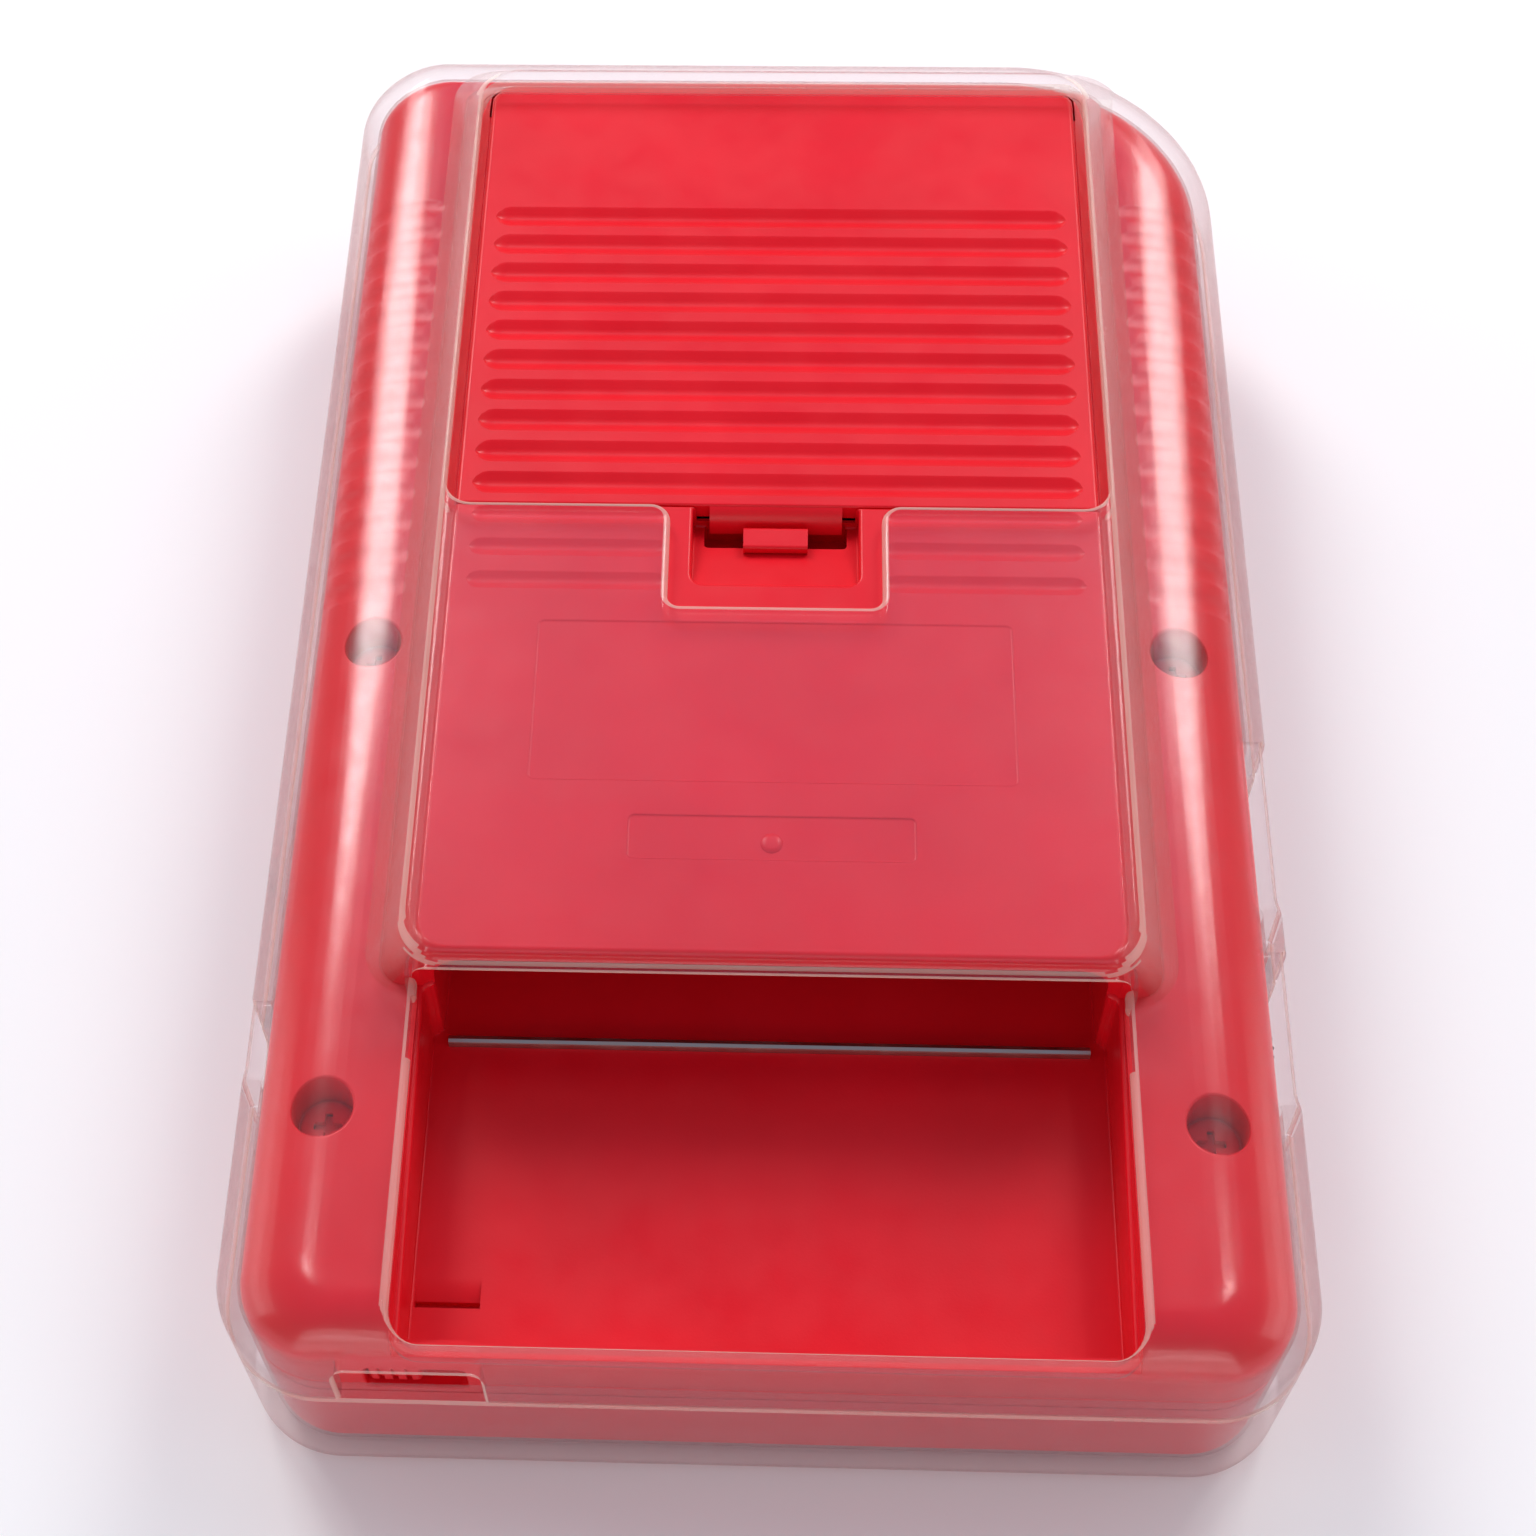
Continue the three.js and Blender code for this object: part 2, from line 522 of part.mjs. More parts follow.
function potentiometer({ x, y, low, high }) {
  const base = MAIN_BOARD.high + GAP;
  const half = Math.min(3.2, CASE.halfWidth - SHELL_OFFSET - SHELL_WALL - GAP - Math.abs(x));
  return box([x - half, x + half], [y - half, y + half], [base, low - 0.4])
    .add(rod(x, y, 1.4, [base, high - 0.2]));
}

function powerSwitch() {
  const { left, right } = SWITCH_KNOB;
  let knob = box([left, right], [-73.5, SWITCH.back - 0.2], [SWITCH.low + 0.3, SWITCH.high - 0.3]);
  for (let ridge = 0; ridge < 3; ridge += 1) {
    const x = left + 1.1 + ridge * 1.2;
    knob = knob.subtract(box([x - 0.25, x + 0.25], [-75, -73.1], [0, 40]));
  }
  const neck = box([left + 0.6, right - 0.6], [-72.4, -70.5], [18.1, 19]);
  const tab = box([left + 0.2, SWITCH.right + 0.1], [-70.7, -69.5], [18, 19.6]);
  return joined([knob, neck, tab]);
}

// ---- boards, screen and electrical pieces ----------------------------------------------------
function board(xs, ys, zs, cutouts) {
  return cutouts.reduce((solid, cutout) => solid.subtract(cutout), roundedBlock(xs, ys, 2, zs));
}

const postHoles = (zs) => everyScrew((x, y) => rod(x, y, POST_RADIUS + 0.5, [zs[0] - 1, zs[1] + 1]));

function mainBoard() {
  const zs = [MAIN_BOARD.low, MAIN_BOARD.high];
  return board([-41, 41], [-68, 5], zs, [
    ...postHoles(zs),
    box([-38, -22], [-72, -66], [zs[0] - 1, zs[1] + 1]),
  ]);
}

function frontBoard() {
  const zs = [FRONT_BOARD.low, FRONT_BOARD.high];
  return board([-35, 38], [-66, 66], zs, [
    ...postHoles(zs),
    rod(SPEAKER.x, SPEAKER.y, SPEAKER.radius + 1, [zs[0] - 1, zs[1] + 1], SPEAKER.radius + 1, 20),
    box([-37, -20], [57, 70], [zs[0] - 1, zs[1] + 1]),
  ]);
}

function membrane(xs, ys, domes) {
  let solid = roundedBlock(xs, ys, 3, [7.9, 8.7]);
  for (const [x, y] of domes) {
    solid = solid.add(rod(x, y, 2.2, [7.2, 8.1], 3, 12));
  }
  return solid;
}

function dpadMembrane() {
  const reach = 8.5;
  const domes = [[-reach, 0], [reach, 0], [0, -reach], [0, reach]];
  const centred = domes.map(([x, y]) => [DPAD.x + x, DPAD.y + y]);
  return membrane([DPAD.x - 12.5, DPAD.x + 12.5], [DPAD.y - 12.5, DPAD.y + 12.5], centred)
    .subtract(rod(DPAD.x, DPAD.y, 2, [6, 10]));
}

function cartridgeConnector() {
  const body = box([-28.5, 28.5], [RECESS.bayEnd + 0.3, -4.6], [MAIN_BOARD.high + GAP, 28.5]);
  return body.subtract(box([-25, 25], [-20, -6.5], [21.5, 25.5]));
}

/** A thin folded strip along the step between the recess floor and the bay. */
function cartridgeShield() {
  const low = RECESS.floor + 0.02;
  return box([-29.4, 29.4], [-42.4, -36], [low, low + 0.45]).add(
    box([-29.4, 29.4], [-42.4, -41.8], [low, low + 0.9]));
}

/** The link cable's socket, with a contact tongue across its middle. */
function linkPort() {
  const { near, far, low, high, back } = LINK_PORT;
  const middle = (low + high) / 2;
  return box([back + GAP, 44.6], [near, far], [low, high])
    .subtract(box([back + 2, 50], [near + 1.2, far - 1.2], [low + 0.8, high - 0.8]))
    .add(box([back + 1.5, 43.8], [near + 2.8, far - 2.8], [middle - 0.5, middle + 0.5]));
}

function dcJack() {
  const { y, z } = DC_JACK;
  return box([-43, -35.4], [y - 4.5, y + 4.5], [z - 4.5, z + 1.9])
    .add(rodX(y, z, DC_JACK.radius, [-44.8, -42]))
    .subtract(rodX(y, z, 2.2, [-50, -36]));
}

function headphoneJack() {
  const { x, z } = PHONES;
  return box([x - 4, x + 4], [58, 72], [z - 4, z + 3])
    .add(rodY(x, z, PHONES.radius, [71, 73.8]))
    .subtract(rodY(x, z, 1.8, [60, 80]));
}

function speaker() {
  const { x, y, radius } = SPEAKER;
  return joined([
    rod(x, y, radius, [4.2, 5.4], radius, 24),
    rod(x, y, radius, [5.2, 8], radius * 0.7, 24),
    rod(x, y, radius * 0.45, [7.8, 10.6], radius * 0.45, 20),
  ]);
}

function ribbonCable() {
  return box([-10, 10], [5.6, 6], [FRONT_BOARD.high + GAP, MAIN_BOARD.high - 0.2]);
}

function shellScrew(x, y) {
  const seat = screwSeat(y);
  const headHeight = y > BAY.near ? 0.9 : 1.7;
  const head = rod(x, y, SCREW.head, [seat + 0.05, seat + headHeight], SCREW.head - 0.25);
  const shank = rod(x, y, SCREW.shank, [SCREW.tip, seat + 0.4], SCREW.shank, 10);
  return head.add(shank);
}

// ---- the assembly ------------------------------------------------------------------------------
addPart('case_front', caseFront(), CLEAR);
addPart('case_back', caseBack(), CLEAR);
addPart('shell_front', shellFront(), RED);
addPart('shell_back', shellBack(), RED);
addPart('battery_door', batteryDoor(), RED);
addPart('door_latch', doorLatch(), RED);
addPart('power_switch', powerSwitch(), RED);

addPart('screen_lens', roundedBlock([-LENS.halfWidth, LENS.halfWidth], [LENS.near, LENS.far],
  LENS.radius, [2, 2 + LENS.thick - 0.2]), LENS_TINT);
addPart('lcd_panel', roundedBlock([-WINDOW.halfWidth - 3, WINDOW.halfWidth + 3],
  [WINDOW.near - 3, WINDOW.far + 3], 1, [4.1, 8.6]), GLASS);
addPart('front_circuit_board', frontBoard(), BOARD);
addPart('main_circuit_board', mainBoard(), BOARD);
addPart('ribbon_cable', ribbonCable(), GREY);
addPart('cartridge_connector', cartridgeConnector(), DARK);
addPart('cartridge_shield', cartridgeShield(), METAL);
addPart('processor_chip', box([-9, 9], [-36, -18], [CHIP.low, CHIP.high]), DARK);
addPart('memory_chip', box([-24, -14], [-34, -20], [CHIP.low, CHIP.high]), DARK);
addPart('amplifier_chip', box([16, 23], [-34, -26], [CHIP.low, CHIP.high]), DARK);
addPart('capacitor', rod(38.6, -63, 2.6, [CHIP.low, 21.5], 2.6, 14), DARK);
addPart('link_port', linkPort(), DARK);
addPart('dc_jack', dcJack(), DARK);
addPart('headphone_jack', headphoneJack(), DARK);
addPart('speaker', speaker(), DARK);
addPart('battery_light', rod(BATTERY_LIGHT.x, BATTERY_LIGHT.y, 1.3, [4.1, 8.7]), RED);

addPart('volume_control', potentiometer(VOLUME), METAL);
addPart('contrast_control', potentiometer(CONTRAST), METAL);
addPart('volume_wheel', wheel(VOLUME), DARK);
addPart('contrast_wheel', wheel(CONTRAST), DARK);

addPart('dpad', dpad(), DARK);
addPart('dpad_pivot', rod(DPAD.x, DPAD.y, 1.2, [5, 8.8], 1.2, 12), RUBBER);
addPart('dpad_membrane', dpadMembrane(), RUBBER);
addPart('action_button_membrane',
  membrane([8, 38.5], [8.5, 30.5], Object.values(ROUND_BUTTONS)), RUBBER);
addPart('menu_button_membrane',
  membrane([-16, 14], [42.5, 51.5], Object.values(MENU_BUTTONS)), RUBBER);
for (const [name, [x, y]] of Object.entries(ROUND_BUTTONS)) {
  addPart(name, roundButton(x, y), DARK);
}
for (const [name, [x, y]] of Object.entries(MENU_BUTTONS)) {
  addPart(name, menuButton(x, y), RUBBER);
}

for (let i = 0; i < 4; i += 1) {
  addPart(`battery_cell_${i + 1}`, batteryCell(cellX(i), nubSideOf(cellX(i))), CELL_WRAP);
}
addPart('contact_near_left', batteryContact([cellX(0)], false), METAL);
addPart('contact_near_middle', batteryContact([cellX(1), cellX(2)], false), METAL);
addPart('contact_near_right', batteryContact([cellX(3)], false), METAL);
addPart('contact_far_left', batteryContact([cellX(0), cellX(1)], true), METAL);
addPart('contact_far_right', batteryContact([cellX(2), cellX(3)], true), METAL);

SCREWS.forEach(([x, y], i) => addPart(`shell_screw_${i + 1}`, shellScrew(x, y), METAL));

export default object;
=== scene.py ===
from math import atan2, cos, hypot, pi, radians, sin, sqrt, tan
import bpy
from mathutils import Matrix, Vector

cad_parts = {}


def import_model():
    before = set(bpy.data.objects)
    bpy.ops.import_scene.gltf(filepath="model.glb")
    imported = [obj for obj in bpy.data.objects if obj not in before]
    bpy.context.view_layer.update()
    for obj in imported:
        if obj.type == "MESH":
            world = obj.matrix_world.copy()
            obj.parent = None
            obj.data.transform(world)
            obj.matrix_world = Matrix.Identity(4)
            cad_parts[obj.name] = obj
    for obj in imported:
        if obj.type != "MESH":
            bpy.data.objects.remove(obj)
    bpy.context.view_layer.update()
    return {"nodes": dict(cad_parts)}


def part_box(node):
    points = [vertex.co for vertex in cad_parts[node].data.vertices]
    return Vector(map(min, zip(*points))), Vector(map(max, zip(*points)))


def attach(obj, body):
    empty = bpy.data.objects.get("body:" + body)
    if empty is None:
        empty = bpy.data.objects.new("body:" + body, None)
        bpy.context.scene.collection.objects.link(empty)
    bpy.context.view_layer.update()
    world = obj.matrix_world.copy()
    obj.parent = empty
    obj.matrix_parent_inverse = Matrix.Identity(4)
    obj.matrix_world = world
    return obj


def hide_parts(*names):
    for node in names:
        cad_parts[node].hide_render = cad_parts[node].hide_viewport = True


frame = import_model()

# Looks of a handheld game console that lies on its screen in a clear two-piece case.
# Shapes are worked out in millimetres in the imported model's frame, +X right, +Y away from the
# cartridge end, +Z up. mesh_object turns them into metres.
from types import SimpleNamespace as Sizes

import bmesh
import bpy
import numpy as np
from mathutils import Matrix, Vector

MM = 0.001


def box_mm(node):
    """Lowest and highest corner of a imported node, in millimetres."""
    low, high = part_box(node)
    return np.array(low) / MM, np.array(high) / MM


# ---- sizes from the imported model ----
CASE_LOW, CASE_HIGH = box_mm("case_back")
SHELL_LOW, SHELL_HIGH = box_mm("shell_back")
DOOR_LOW, DOOR_HIGH = box_mm("battery_door")
LENS_LOW, LENS_HIGH = box_mm("screen_lens")
LINK_LOW, LINK_HIGH = box_mm("link_port")

GAP = 0.3
HALF_WIDTH = CASE_HIGH[0]
HALF_LENGTH = CASE_HIGH[1]
HEIGHT = CASE_HIGH[2]
INSET = CASE_HIGH[0] - SHELL_HIGH[0]  # the shell, in from the case's outer face
CASE_WALL = INSET - GAP
CASE_SPLIT = CASE_LOW[2] - GAP / 2
SHELL_SPLIT = SHELL_LOW[2]
SHELL_TOP = HEIGHT - INSET
SHELL_WALL = 1.8

# ---- shape values that a box doesn't give ----
SHOULDER = 29.1  # case top beside the hump
CORNERS = np.array([9.0, 9.0, 20.0, 8.0])   # near left, near right, far right, far left
CORNER_STEPS = 20
EDGE_STEPS = 12
LIP_STEPS = 4
SEAM_BEVEL = 0.28  # the case halves' outer edges where they meet
CREASE = radians(32)  # sharper edges stay sharp
# The clear case's second material paints highlight lines along rims, seams and the hump's edges; its third
# paints a reflection band on the hump's flanks.
RIM, FLANK = 1, 2  # a piece's second and third material
TOP_EDGE = Sizes(side=10.0, near=7.0, far=4.0, rise=6.5)
FACE_EDGE = Sizes(side=2.5, near=2.5, far=2.5, rise=2.5)
HUMP = Sizes(half=32.1, near=-42.8, far=65.0, flare=0.58, far_slope=1.01)
HUMP_CORNER = 4.4
HUMP_MARGIN = 1.8
DOOR_CUTOUT = Sizes(half=31.9, near=6.9, far=62.7)
LATCH_CUTOUT = Sizes(half=10.1, near=-5.0)
LATCH_POCKET = Sizes(half=8.0, near=-1.2, far=7.9, floor=31.0, shallow=33.3)
LATCH_WELL = Sizes(half=6.9, near=4.6, far=7.95, floor=28.5)
CART_CUTOUT = Sizes(half=31.3, near=-73.9, far=-39.0)
RECESS = Sizes(half=30.9, floor=17.6, bay_end=-10.4, bay_top=31.2, bay_half=29.9,
               wall_far=-72.6, wall_top=23.5)
BATTERY_BAY = Sizes(half=30.0, near=8.2, far=61.8, floor=17.0, lid=31.9, wall=1.4)
SWITCH_CUTOUT = Sizes(left=-36.1, right=-23.7, high=24.2)
SWITCH_BAY = Sizes(left=-34.2, right=-25.4, low=15.8, high=20.4, back=-72.1,
                   block_far=-71.5, block_top=21.0)
FLOOR_SLIT = Sizes(left=-30.6, right=-24.8, near=-67.4, step=-66.6, far=-64.7, deep=1.6)
LABELS = ((22.2, -23.2, -5.6, 0.09), (12.9, -31.3, -26.7, 0.12))   # half-width, near, far, depth
NEAR_END = -80.0  # short of every piece
RIB_PITCH = 3.884
RIB_FIRST = 45.6  # the door's farthest groove
DOOR_RIBS = 10
HUMP_RIBS = 3
DOOR_GROOVE = (1.6, 0.52)  # half-width and depth
HUMP_GROOVE = (1.4, 0.3)
SHOULDER_GROOVE = (1.4, 0.33)
POST_RADIUS = 3.6
SCREW_HOLE = 2.75
PILOT_HOLE = 1.6
SCREW_SEAT = 22.2
BAY_SCREW_SEAT = 16.0  # the two screws inside the battery bay


# ---- meshes ----
def placed(name, data):
    """A new object in the scene."""
    made = bpy.data.objects.new(name, data)
    bpy.context.scene.collection.objects.link(made)
    return made


def mesh_object(name, points, faces):
    mesh = bpy.data.meshes.new(name)
    mesh.from_pydata([[c * MM for c in p] for p in points], [], faces)
    mesh.update()
    return placed(name, mesh)


def loft(rings):
    """A closed solid through rings of as many points each."""
    count = len(rings[0])
    points = [p for ring in rings for p in ring]
    faces = [list(range(count))[::-1]]
    for k in range(len(rings) - 1):
        for i in range(count):
            a, b = k * count + i, k * count + (i + 1) % count
            faces.append([a, b, b + count, a + count])
    faces.append([(len(rings) - 1) * count + i for i in range(count)])
    piece = mesh_object("solid", points, faces)
    work = bmesh.new()
    work.from_mesh(piece.data)
    bmesh.ops.recalc_face_normals(work, faces=work.faces)
    work.to_mesh(piece.data)
    work.free()
    return piece


def remove(piece):
    mesh = piece.data
    bpy.data.objects.remove(piece)
    bpy.data.meshes.remove(mesh)


def merged(pieces):
    """Several pieces that don't touch, as one object."""
    points, faces, marks = [], [], []
    for piece in pieces:
        start = len(points)
        points += [v.co / MM for v in piece.data.vertices]
        faces += [[start + i for i in f.vertices] for f in piece.data.polygons]
        marks += [f.material_index for f in piece.data.polygons]
        remove(piece)
    whole = mesh_object("solid", points, faces)
    if any(marks):
        two_toned(whole).data.polygons.foreach_set("material_index", marks)
    return whole


def apply_modifiers(piece):
    bpy.context.view_layer.update()
    seen = piece.evaluated_get(bpy.context.evaluated_depsgraph_get())
    mesh = bpy.data.meshes.new_from_object(seen)
    if not mesh.polygons:
        raise RuntimeError(f"nothing is left of {piece.name}")
    before = piece.data
    piece.modifiers.clear()
    piece.data = mesh
    bpy.data.meshes.remove(before)


def boolean(piece, tool, operation):
    modifier = piece.modifiers.new("boolean", "BOOLEAN")
    modifier.operation = operation
    modifier.solver = "MANIFOLD"
    modifier.object = tool
    apply_modifiers(piece)
    remove(tool)
    return piece


def cut(piece, *tools):
    for tool in tools:
        boolean(piece, tool, "DIFFERENCE")
    return piece


def add(piece, *tools):
    for tool in tools:
        boolean(piece, tool, "UNION")
    return piece


def within(piece, tool):
    return boolean(piece, tool, "INTERSECT")


def finished(piece, name, materials, node, body="console"):
    """Names a piece that stands in for a node, smooths it, and gives it materials and a body."""
    piece.name = name
    work = bmesh.new()
    work.from_mesh(piece.data)
    bmesh.ops.remove_doubles(work, verts=work.verts, dist=1e-7)
    bmesh.ops.dissolve_degenerate(work, edges=work.edges, dist=1e-7)
    for edge in work.edges:
        edge.smooth = len(edge.link_faces) == 2 and edge.calc_face_angle() < CREASE
    for face in work.faces:
        face.smooth = True
        face.material_index = min(face.material_index, len(materials) - 1)
    bmesh.ops.dissolve_limit(work, angle_limit=radians(0.4), verts=work.verts, edges=work.edges,
                             delimit={"MATERIAL", "SHARP"})
    work.to_mesh(piece.data)
    work.free()
    weigh = piece.modifiers.new("weigh", "WEIGHTED_NORMAL")
    weigh.weight = 100
    weigh.keep_sharp = True
    apply_modifiers(piece)
    marks = [face.material_index for face in piece.data.polygons]
    piece.data.name = name
    piece.data.materials.clear()
    for material in materials:
        piece.data.materials.append(material)
    piece.data.polygons.foreach_set("material_index", marks)
    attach(piece, body)
    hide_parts(node)


def two_toned(piece):
    """Gives a solid a second material slot, which marked cutters leave on the faces they make."""
    while len(piece.data.materials) < 2:
        piece.data.materials.append(None)
    return piece


def marked(piece):
    two_toned(piece)
    for face in piece.data.polygons:
        face.material_index = RIM
    return piece


# ---- outlines ----
def arc(x, y, radius, start, steps):
    angles = start + np.linspace(0, pi / 2, steps + 1)
    return [(x + radius * cos(a), y + radius * sin(a)) for a in angles]


def rounded_box(x0, x1, y0, y1, radii, steps=CORNER_STEPS):
    """A rounded rectangle's outline, counter-clockwise. radii: near left, near right, far right, far left."""
    a, b, c, d = np.broadcast_to(radii, 4)
    return np.array(arc(x0 + a, y0 + a, a, pi, steps)
                    + arc(x1 - b, y0 + b, b, 1.5 * pi, steps)
                    + arc(x1 - c, y1 - c, c, 0, steps)
                    + arc(x0 + d, y1 - d, d, 0.5 * pi, steps))


def rounded_path(corners, steps=8):
    """A closed path through (x, y, radius) corners, each rounded, counter-clockwise."""
    path = []
    for i, (x, y, radius) in enumerate(corners):
        here = Vector((x, y))
        before = (Vector(corners[i - 1][:2]) - here).normalized()
        after = (Vector(corners[(i + 1) % len(corners)][:2]) - here).normalized()
        half = before.angle(after) / 2
        start = here + before * (radius / tan(half))
        end = here + after * (radius / tan(half))
        centre = here + (before + after).normalized() * (radius / sin(half))
        a0 = atan2(*(start - centre).yx)
        turn = atan2(*(end - centre).yx) - a0
        turn = (turn + pi) % (2 * pi) - pi
        for k in range(steps + 1):
            a = a0 + turn * k / steps
            path.append((centre.x + radius * cos(a), centre.y + radius * sin(a)))
    return np.array(path)


def at_height(path, z):
    return [(x, y, z) for x, y in path]


def prism(path, z0, z1):
    return loft([at_height(path, z0), at_height(path, z1)])


def block(x0, x1, y0, y1, z0, z1, radius=0.0):
    if radius:
        return prism(rounded_box(x0, x1, y0, y1, radius, 6), z0, z1)
    return prism(np.array([(x0, y0), (x1, y0), (x1, y1), (x0, y1)]), z0, z1)


def bar(profile, x0, x1):
    """A solid along X with a (y, z) profile."""
    return loft([[(x, y, z) for y, z in profile] for x in (x0, x1)])


def spun(path, turn, x, y):
    """A path turned about the origin, then moved to x, y."""
    return path @ np.array([(cos(turn), sin(turn)), (-sin(turn), cos(turn))]) + (x, y)


def circle(x, y, radius, steps=40):
    angles = np.linspace(0, 2 * pi, steps, endpoint=False)
    return np.array([(x + radius * cos(a), y + radius * sin(a)) for a in angles])


def turned(x, y, profile):
    """A closed solid turned about a vertical axis at x, y, through (radius, z) stations."""
    return loft([at_height(circle(x, y, radius, 48), z) for radius, z in profile])


def path_normals(path):
    """Outward directions along a counter-clockwise path."""
    ahead = np.roll(path, -1, 0) - path
    behind = path - np.roll(path, 1, 0)
    unit = [v / np.maximum(np.linalg.norm(v, axis=1, keepdims=True), 1e-9) for v in (ahead, behind)]
    along = unit[0] + unit[1]
    along /= np.maximum(np.linalg.norm(along, axis=1, keepdims=True), 1e-9)
    return np.stack([along[:, 1], -along[:, 0]], 1)


def from_above(u, v, h):
    return (u, v, h)


def from_below(u, v, h):
    return (u, v, -h)


def from_near(u, v, h):
    return (u, -h, v)


def from_far(u, v, h):
    return (u, h, v)


def from_side(side):
    return lambda u, v, h: (side * h, u, v)


def moved_rings(path, stations, place=from_above):
    """A solid through copies of a path, each moved outward and set at a height, or at one for
    each of its points. place turns (path x, path y, height) into a point of the frame."""
    normals = path_normals(path)
    rings = []
    for out, heights in stations:
        heights = np.broadcast_to(heights, len(path))
        rings.append([place(u, v, h) for (u, v), h in zip(path + normals * out, heights)])
    return loft(rings)


def window(path, outer, inner, lip, place=from_above, below=6.0, above=6.0):
    """A cutter for a window through a wall, which leaves both of its rims rounded by lip.

    outer and inner give the wall's two faces over a path point. The cutter reaches below and
    above the wall by that much. The faces that round the outer rim are marked."""
    high = np.array([outer(u, v) for u, v in path])
    low = np.array([inner(u, v) for u, v in path])
    angles = np.linspace(0, pi / 2, LIP_STEPS + 1)
    stations = [(lip, low.min() - below)]
    stations += [(lip - lip * sin(a), low + lip - lip * cos(a)) for a in angles]
    stations += [(lip - lip * cos(a), high - lip + lip * sin(a)) for a in angles]
    stations += [(lip, high.max() + above)]
    cutter = two_toned(moved_rings(path, stations, place))
    # These rim faces get the second material; on the clear case it paints a highlight along the rim.
    first, last = 1 + (LIP_STEPS + 2) * len(path), 1 + (2 * LIP_STEPS + 2) * len(path)
    for face in cutter.data.polygons[first:last]:
        face.material_index = RIM
    return cutter


def pit(path, top, floor, lip, place=from_above):
    """A cutter for a pit down to floor(u, v), whose rim is rounded by lip."""
    tops = np.array([top(u, v) for u, v in path])
    floors = np.array([floor(u, v) for u, v in path])
    stations = [(-0.25, floors), (-0.07, floors + 0.07), (0, floors + 0.25)]
    stations += [(lip - lip * cos(a), tops - lip + lip * sin(a))
                 for a in np.linspace(0, pi / 2, LIP_STEPS + 1)]
    stations.append((lip, tops.max() + 5))
    return moved_rings(path, stations, place)


def rounded_profile(low, high, rounding):
    """(outward, height) stations of a straight wall whose high end is rounded over."""
    return [(0, low)] + [(rounding * cos(a) - rounding, high - rounding + rounding * sin(a))
                         for a in np.linspace(0, pi / 2, 6)]


def flat(height):
    return lambda u, v: height


# ---- the console's form ----
def outline(offset, edge, curve, z):
    """The console's outline at height z, set in from the case's by offset and by the edge's curve."""
    def inset(amount):
        return offset + max(amount - offset, 0) * curve
    mean = inset((min(edge.side, 6.5) + edge.near) / 2)
    radii = np.maximum(CORNERS - mean, 0.6)
    half = HALF_WIDTH - inset(edge.side)
    near = -HALF_LENGTH + inset(edge.near)
    far = HALF_LENGTH - inset(edge.far)
    return at_height(rounded_box(-half, half, near, far, radii), z)


def back_slab(offset, low):
    rise = TOP_EDGE.rise - offset
    rings = [outline(offset, TOP_EDGE, 0, low)]
    if offset == 0:
        rings = [outline(SEAM_BEVEL, TOP_EDGE, 0, low), outline(0, TOP_EDGE, 0, low + SEAM_BEVEL)]
    for step in range(EDGE_STEPS + 1):
        angle = step / EDGE_STEPS * pi / 2
        z = SHOULDER - offset - rise * (1 - sin(angle))
        rings.append(outline(offset, TOP_EDGE, 1 - cos(angle), z))
    return loft(rings)


def front_slab(offset, high):
    rise = max(FACE_EDGE.rise - offset, 0.4)
    rings = []
    for step in range(9):
        angle = (1 - step / 8) * pi / 2
        z = offset + rise * (1 - sin(angle))
        rings.append(outline(offset, FACE_EDGE, 1 - cos(angle), z))
    if offset:
        return loft(rings + [outline(offset, FACE_EDGE, 0, high)])
    rings.append(outline(0, FACE_EDGE, 0, high - SEAM_BEVEL))
    return loft(rings + [outline(SEAM_BEVEL, FACE_EDGE, 0, high)])


def hump_edge(down, slope, rounding):
    """How far a hump wall of that slope stands out, down millimetres below the top."""
    tangent = rounding * (1 - slope / hypot(1, slope))
    if down >= tangent:
        return down * slope
    level = rounding - down
    run = sqrt(max(rounding ** 2 - level ** 2, 0))
    return rounding * slope - rounding * hypot(1, slope) + run


def hump(offset, low):
    rounding = max(1.3 - offset * 0.4, 0.4)
    top = HEIGHT - offset
    side_shift = offset * (hypot(1, HUMP.flare) - HUMP.flare)
    far_shift = offset * (hypot(1, HUMP.far_slope) - HUMP.far_slope)
    radius = max(HUMP_CORNER - offset, 0.8)
    depths = [top - low] + [rounding * (1 - sin(a)) for a in np.linspace(0, pi / 2, 9)]
    rings = []
    for down in depths:
        half = HUMP.half - side_shift + hump_edge(down, HUMP.flare, rounding)
        near = HUMP.near + offset - hump_edge(down, 0, rounding)
        far = HUMP.far - far_shift + hump_edge(down, HUMP.far_slope, rounding)
        rings.append(at_height(rounded_box(-half, half, near, far, radius, 12), top - down))
    return loft(rings)


def back_form(offset, low):
    inset = offset + HUMP_MARGIN
    clip = loft([outline(inset, TOP_EDGE, 0, z) for z in (10, 50)])
    raised = within(hump(offset, SHOULDER - offset - 2), clip)
    return add(back_slab(offset, low), raised)


def edge_drop(distance, run, rise):
    """How far a rounded edge lies below its flat, at a distance in from its foot."""
    if distance >= run:
        return 0.0
    cosine = 1 - max(distance, 0) / run
    return rise * (1 - sqrt(max(1 - cosine ** 2, 0)))


def shoulder_height(offset):
    """The height of the slab's top over x, y, near its sides and its near end."""
    def height(x, y):
        rise = TOP_EDGE.rise - offset
        side = edge_drop(HALF_WIDTH - offset - abs(x), TOP_EDGE.side - offset, rise)
        near = edge_drop(HALF_LENGTH - offset + y, TOP_EDGE.near - offset, rise)
        return SHOULDER - offset - max(side, near)
    return height


def wall_reach(reach, run, offset):
    """How far out an upright wall stands over (along, z), with the rounding near its top."""
    def distance(_, z):
        rise = TOP_EDGE.rise - offset
        sine = min(max((z - SHOULDER + TOP_EDGE.rise) / rise, 0), 1)
        return reach - offset - (run - offset) * (1 - sqrt(1 - sine ** 2))
    return distance


